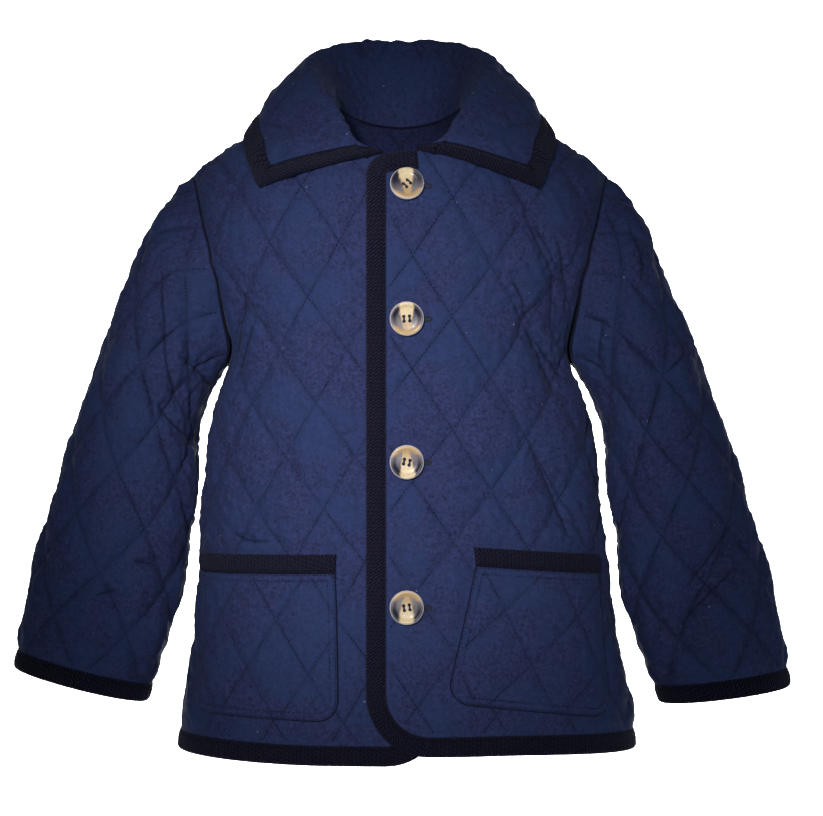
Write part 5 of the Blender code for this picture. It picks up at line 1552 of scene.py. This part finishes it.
class Nodes:
    """Short ways to add shader nodes to a material."""

    def __init__(self, name):
        self.material = bpy.data.materials.new(name)
        self.material.use_nodes = True
        self.tree = self.material.node_tree
        self.shader = self.tree.nodes["Principled BSDF"]

    def link(self, value, socket):
        if isinstance(value, bpy.types.NodeSocket):
            self.tree.links.new(value, socket)
        else:
            socket.default_value = value

    def add(self, kind, settings=None, **inputs):
        node = self.tree.nodes.new(kind)
        for key, value in (settings or {}).items():
            setattr(node, key, value)
        for key, value in inputs.items():
            self.link(value, node.inputs[key.replace("_", " ")])
        return node

    def math(self, operation, a, b=0.0):
        node = self.add("ShaderNodeMath", {"operation": operation})
        self.link(a, node.inputs[0])
        self.link(b, node.inputs[1])
        return node.outputs[0]

    def attribute(self, name):
        node = self.add("ShaderNodeAttribute", {"attribute_name": name, "attribute_type": "GEOMETRY"})
        parts = self.add("ShaderNodeSeparateXYZ")
        self.tree.links.new(node.outputs["Vector"], parts.inputs[0])
        return parts.outputs

    def range(self, value, low, high, to_low=0.0, to_high=1.0, smooth=True):
        node = self.add(
            "ShaderNodeMapRange", {"interpolation_type": "SMOOTHSTEP" if smooth else "LINEAR"},
            From_Min=low, From_Max=high, To_Min=to_low, To_Max=to_high,
        )
        self.link(value, node.inputs["Value"])
        return node.outputs["Result"]

    def noise(self, scale, detail=2.0, roughness=0.5, vector=None):
        if vector is None:
            vector = self.add("ShaderNodeTexCoord").outputs["Object"]
        node = self.add("ShaderNodeTexNoise", Scale=scale, Detail=detail, Roughness=roughness, Vector=vector)
        return node.outputs[0]

    def mix(self, share, a, b):
        node = self.add("ShaderNodeMix", {"data_type": "RGBA"})
        self.link(share, node.inputs[0])
        self.link((*a, 1) if isinstance(a, tuple) else a, node.inputs[6])
        self.link((*b, 1) if isinstance(b, tuple) else b, node.inputs[7])
        return node.outputs[2]

    def over(self, color, share, amount, other):
        """The color with another one over it, as far as a share and an amount say."""
        return self.mix(self.math("MULTIPLY", share, amount), color, other)

    def bump(self, height, distance, strength=1.0, normal=None):
        node = self.add("ShaderNodeBump", Strength=strength, Distance=distance, Height=height)
        if normal is not None:
            self.link(normal, node.inputs["Normal"])
        return node.outputs[0]

    def finish(self, color, roughness, normal=None, sheen=0.0, sheen_roughness=0.5, coat=0.0, specular=0.25):
        self.link(color, self.shader.inputs["Base Color"])
        self.link(roughness, self.shader.inputs["Roughness"])
        if normal is not None:
            self.link(normal, self.shader.inputs["Normal"])
        self.shader.inputs["Sheen Weight"].default_value = sheen
        self.shader.inputs["Sheen Roughness"].default_value = sheen_roughness
        self.shader.inputs["Sheen Tint"].default_value = (*SHEEN_TINT, 1)
        self.shader.inputs["Coat Weight"].default_value = coat
        self.shader.inputs["Specular IOR Level"].default_value = specular
        return self.material


def stitch_row(made, away, along):
    """How much of a stitch and of a needle hole is at a distance from a line and a place along it."""
    line = made.range(away, 0.0, STITCH_WIDTH, 1.0, 0.0)
    wave = made.math("SINE", made.math("MULTIPLY", along, 2 * math.pi / STITCH))
    hole = made.range(wave, 0.1, 0.9)
    return line, hole


def cloth_look(name, topstitch):
    """Navy cotton: a fine weave, a heather of dark threads, stitch lines, lint, and painted shade in the
    quilting's grooves, in creases and along the seams.
    """
    made = Nodes(name)
    away, along = made.attribute("away"), made.attribute("along")
    first, first_hole = stitch_row(made, away[0], along[0])
    second, second_hole = stitch_row(made, away[1], along[1])
    line = made.math("MAXIMUM", first, second)
    first_hole = made.math("MULTIPLY", first, first_hole)
    second_hole = made.math("MULTIPLY", second, second_hole)
    hole = made.math("MAXIMUM", first_hole, second_hole)
    inner = made.range(away[2], *QUILT_START)
    line, hole = made.math("MULTIPLY", line, inner), made.math("MULTIPLY", hole, inner)
    for distance in topstitch:
        off = made.math("ABSOLUTE", made.math("SUBTRACT", away[2], distance))
        row, row_hole = stitch_row(made, off, along[2])
        line = made.math("MAXIMUM", line, row)
        hole = made.math("MAXIMUM", hole, made.math("MULTIPLY", row, row_hole))
    heather = made.range(made.noise(430.0, 5.0, 0.8), 0.32, 0.68, smooth=False)
    cloudy = made.range(made.noise(30.0, 4.0, 0.6), 0.42, 0.62)
    mottled = made.range(made.noise(240.0, 3.0, 0.6), 0.42, 0.66)
    color = made.mix(heather, NAVY_LOW, NAVY_HIGH)
    color = made.over(color, cloudy, 0.45, NAVY_BLUE)
    color = made.over(color, mottled, 0.18, NAVY_PURPLE)
    # painted shade in the quilting's grooves
    groove_shades = [made.range(distance, 0.0, GROOVE_SHADE_WIDTH, 1.0, 0.0) for distance in away[:2]]
    groove_shade = made.math("MULTIPLY", made.math("MAXIMUM", *groove_shades), made.math("MULTIPLY", inner, GROOVE_SHADE_SHARE))
    color = made.mix(groove_shade, color, NAVY_LOW)
    # painted shade in the narrow gap along each piece's edge at its seams
    seam = made.range(away[2], 0.3, 1.3, 1.0, 0.0)
    pulled = made.range(made.noise(42.0, 3.0, 0.6), 0.4, 0.6, 0.35, 1.0)
    line, hole = made.math("MULTIPLY", line, pulled), made.math("MULTIPLY", hole, pulled)
    color = made.over(color, line, 0.2, STITCH_NAVY)
    color = made.over(color, made.math("MAXIMUM", hole, seam), 0.85, HOLE_AND_SHADE_NAVY)
    # painted shade along the creases
    crease_shade = made.attribute("crease")[0]
    color = made.over(color, crease_shade, 0.75, HOLE_AND_SHADE_NAVY)
    place = made.add("ShaderNodeTexCoord").outputs["Object"]
    speck = made.add("ShaderNodeTexVoronoi", Scale=85.0, Vector=place)
    chosen = made.range(made.noise(37.0, 1.0), 0.54, 0.6)
    lint = made.math("MULTIPLY", made.range(speck.outputs["Distance"], 0.035, 0.06, 1.0, 0.0), chosen)
    color = made.over(color, lint, 0.5, LINT)
    cloth = made.add("ShaderNodeUVMap", {"uv_map": "cloth"}).outputs[0]
    threads = []
    for direction in ("X", "Y"):
        settings = {"bands_direction": direction}
        wave = made.add("ShaderNodeTexWave", settings, Scale=WEAVE_SCALE, Distortion=0.6, Vector=cloth)
        threads.append(wave.outputs[1])
    weave = made.math("MULTIPLY", made.math("ADD", *threads), 0.10)
    fibre = made.math("MULTIPLY", made.noise(700.0, 4.0, 0.7), 0.9)
    height = made.math("ADD", weave, fibre)
    normal = made.bump(height, 0.00025, 0.6)
    crush = made.noise(120.0, 4.0, 0.6)
    normal = made.bump(crush, 0.0012, 0.45, normal)
    dent = made.math("SUBTRACT", made.math("MULTIPLY", line, -0.6), made.math("MULTIPLY", hole, 0.8))
    normal = made.bump(dent, 0.0006, 0.8, normal)
    roughness = made.range(heather, 0.0, 1.0, 0.78, 0.92)
    return made.finish(color, roughness, normal, 0.05, 0.4, specular=0.12)


def twill_look():
    """Brushed twill, nearly black, with painted light on its ribs' crests, painted shade in their valleys,
    and a row of stitches near its inner edge.
    """
    made = Nodes("navy_twill_binding")
    strip = made.attribute("strip")
    wave = made.math("SINE", made.math("MULTIPLY", strip[2], 2 * math.pi))
    crest = made.range(wave, -0.9, 0.9)
    fuzz = made.range(made.noise(1500.0, 4.0, 0.75), 0.3, 0.7)
    worn = made.range(made.noise(60.0, 3.0, 0.6), 0.35, 0.7)
    # painted light on the ribs' crests and painted shade in their valleys
    color = made.mix(crest, TWILL_VALLEY_SHADE, TWILL_CREST_LIGHT)
    color = made.over(color, fuzz, 0.55, TWILL_FUZZ)
    color = made.over(color, worn, 0.3, TWILL_WARM)
    off = made.math("ABSOLUTE", made.math("SUBTRACT", strip[0], BINDING - STITCH_IN))
    line, hole = stitch_row(made, off, strip[1])
    color = made.over(color, line, 0.6, HOLE_AND_SHADE_NAVY)
    color = made.over(color, hole, 0.6, HOLE_AND_SHADE_NAVY)
    normal = made.bump(made.noise(1200.0, 5.0, 0.8), 0.0005, 0.7)
    normal = made.bump(crest, 0.0005, 0.9, normal)
    dent = made.math("SUBTRACT", made.math("MULTIPLY", line, -0.7), made.math("MULTIPLY", hole, 0.6))
    normal = made.bump(dent, 0.0006, 0.7, normal)
    return made.finish(color, 0.95, normal, 0.06, 0.5, specular=0.06)


def thread_look():
    made = Nodes("navy_thread")
    shade = made.range(made.noise(2500.0, 3.0, 0.6), 0.3, 0.7)
    color = made.mix(shade, THREAD_DARK, THREAD_LIGHT)
    return made.finish(color, 0.7, made.bump(made.noise(3000.0, 3.0, 0.6), 0.0003, 0.6), 0.3, 0.4)


def horn_look():
    """Polished horn look: slate sides, a cream and tan streak that widens at one end, and a painted highlight
    round its rim.
    """
    made = Nodes("horn_resin")
    disc = made.attribute("disc")
    vector = made.add("ShaderNodeCombineXYZ")
    for index in range(3):
        made.link(made.math("MULTIPLY", disc[index], (1.0, 0.45, 1.0)[index]), vector.inputs[index])
    cloudy = made.noise(0.55, 3.0, 0.6, vector.outputs[0])
    sway = made.math("MULTIPLY", made.math("SUBTRACT", cloudy, 0.5), 3.0)
    x = made.math("ABSOLUTE", made.math("ADD", disc[0], sway))
    widening = made.range(disc[1], -9.0, 9.0, 2.2, 4.9)
    streak = made.range(made.math("SUBTRACT", x, widening), -1.1, 1.1, 1.0, 0.0)
    slate = made.mix(made.range(disc[1], -6.0, 3.5), SLATE_LIGHT, SLATE_DARK)
    cream = made.mix(made.range(disc[1], -6.0, 5.0), TAN, CREAM)
    veins = made.range(made.noise(1.3, 4.0, 0.7, vector.outputs[0]), 0.5, 0.7)
    cream = made.over(cream, veins, 0.45, BROWN)
    color = made.mix(streak, slate, cream)
    x_squared = made.math("POWER", disc[0], 2.0)
    y_squared = made.math("POWER", disc[1], 2.0)
    radius = made.math("SQRT", made.math("ADD", x_squared, y_squared))
    foot = made.math("MULTIPLY", made.range(radius, 6.5, 9.0), made.range(disc[1], -3.0, -6.5))
    color = made.mix(foot, color, TAN)
    # painted highlight: a pale ring round the button's rim
    rim = made.range(radius, 10.6, 11.0)
    color = made.over(color, rim, 0.8, RIM_HIGHLIGHT)
    normal = made.bump(made.noise(0.8, 3.0, 0.5, vector.outputs[0]), 0.0001, 0.3)
    material = made.finish(color, made.range(cloudy, 0.3, 0.7, 0.34, 0.46), normal, coat=0.08, specular=0.3)
    made.shader.inputs["Coat Roughness"].default_value = 0.1
    return material


def stage_look():
    made = Nodes("pale_paper")
    made.shader.inputs["Base Color"].default_value = (*PAPER, 1)
    made.shader.inputs["Roughness"].default_value = 1.0
    return made.material


# ---------------------------------------------------------------- floor, light and camera


def floor_and_wall():
    """A pale floor that curves up into a wall behind the jacket."""
    bend = [
        (FLOOR_END + FLOOR_BEND * math.sin(turn), FLOOR_Z + FLOOR_BEND * (1 - math.cos(turn)))
        for turn in np.linspace(0, math.pi / 2, 17)
    ]
    profile = [(-6.0, FLOOR_Z), *bend, (FLOOR_END + FLOOR_BEND, 5.0)]
    points = [(x, y, z) for y, z in profile for x in (-7.0, 7.0)]
    faces = [(2 * i, 2 * i + 1, 2 * i + 3, 2 * i + 2) for i in range(len(profile) - 1)]
    mesh = bpy.data.meshes.new("floor")
    mesh.from_pydata(points, [], faces)
    mesh.shade_smooth()
    mesh.materials.append(stage_look())
    floor = bpy.data.objects.new("floor", mesh)
    bpy.context.scene.collection.objects.link(floor)


def aimed(data, place, aim, narrow=1.0):
    """Puts a light in the scene, turned to a point."""
    lamp = bpy.data.objects.new(data.name, data)
    lamp.location = place
    lamp.rotation_euler = (Vector(aim) - Vector(place)).to_track_quat("-Z", "Y").to_euler()
    lamp.scale = (narrow, 1.0, 1.0)
    bpy.context.scene.collection.objects.link(lamp)


def area_light(name, place, aim, size, spread, power):
    data = bpy.data.lights.new(name, "AREA")
    data.shape = "DISK"
    data.size = size
    data.spread = math.radians(spread)
    data.energy = power
    aimed(data, place, aim)


def spot_light():
    """A light on the chest that fades towards the sleeves, the shoulders and the hem."""
    data = bpy.data.lights.new("chest", "SPOT")
    data.energy = SPOT_POWER
    data.color = SPOT_COLOR
    data.spot_size = math.radians(SPOT_SPREAD)
    data.spot_blend = 1.0
    data.shadow_soft_size = SPOT_RADIUS
    aimed(data, SPOT_PLACE, SPOT_AIM, SPOT_NARROW)


def camera():
    """A level camera at the distance from which the photograph was taken."""
    data = bpy.data.cameras.new("camera")
    data.sensor_width = 36.0
    data.lens = 36.0 * CAMERA_DISTANCE / (PHOTO_WIDTH * PIXEL_AT_AXIS * MM)
    made = bpy.data.objects.new("camera", data)
    made.location = (CAMERA_X * MM, -CAMERA_DISTANCE, CAMERA_HEIGHT * MM)
    made.rotation_euler = (math.pi / 2, 0, 0)
    bpy.context.scene.collection.objects.link(made)
    bpy.context.scene.camera = made


def world():
    made = bpy.data.worlds.new("studio")
    made.use_nodes = True
    background = made.node_tree.nodes["Background"]
    background.inputs["Color"].default_value = (*WORLD_COLOR, 1)
    background.inputs["Strength"].default_value = WORLD_STRENGTH
    bpy.context.scene.world = made


bpy.context.scene.view_settings.view_transform = "Standard"
camera()
world()
floor_and_wall()
for row in LIGHTS:
    area_light(*row)
spot_light()

CLOTH = cloth_look("navy_quilted_cotton", ())
POCKET_CLOTH = cloth_look("navy_pocket_cotton", (POCKET_ROUND, POCKET_STITCH))
TWILL = twill_look()
THREAD = thread_look()
HORN_LOOK = horn_look()

SLEEVES = {1: SLEEVE_LEFT, -1: SLEEVE_RIGHT}
ARMHOLES = {hand: Armhole(hand, rows) for hand, rows in SLEEVES.items()}

for wearer_hand in (1, -1):
    front_piece(wearer_hand)
    sleeve_piece(wearer_hand)
back_piece()
collar_piece()
button_pieces()
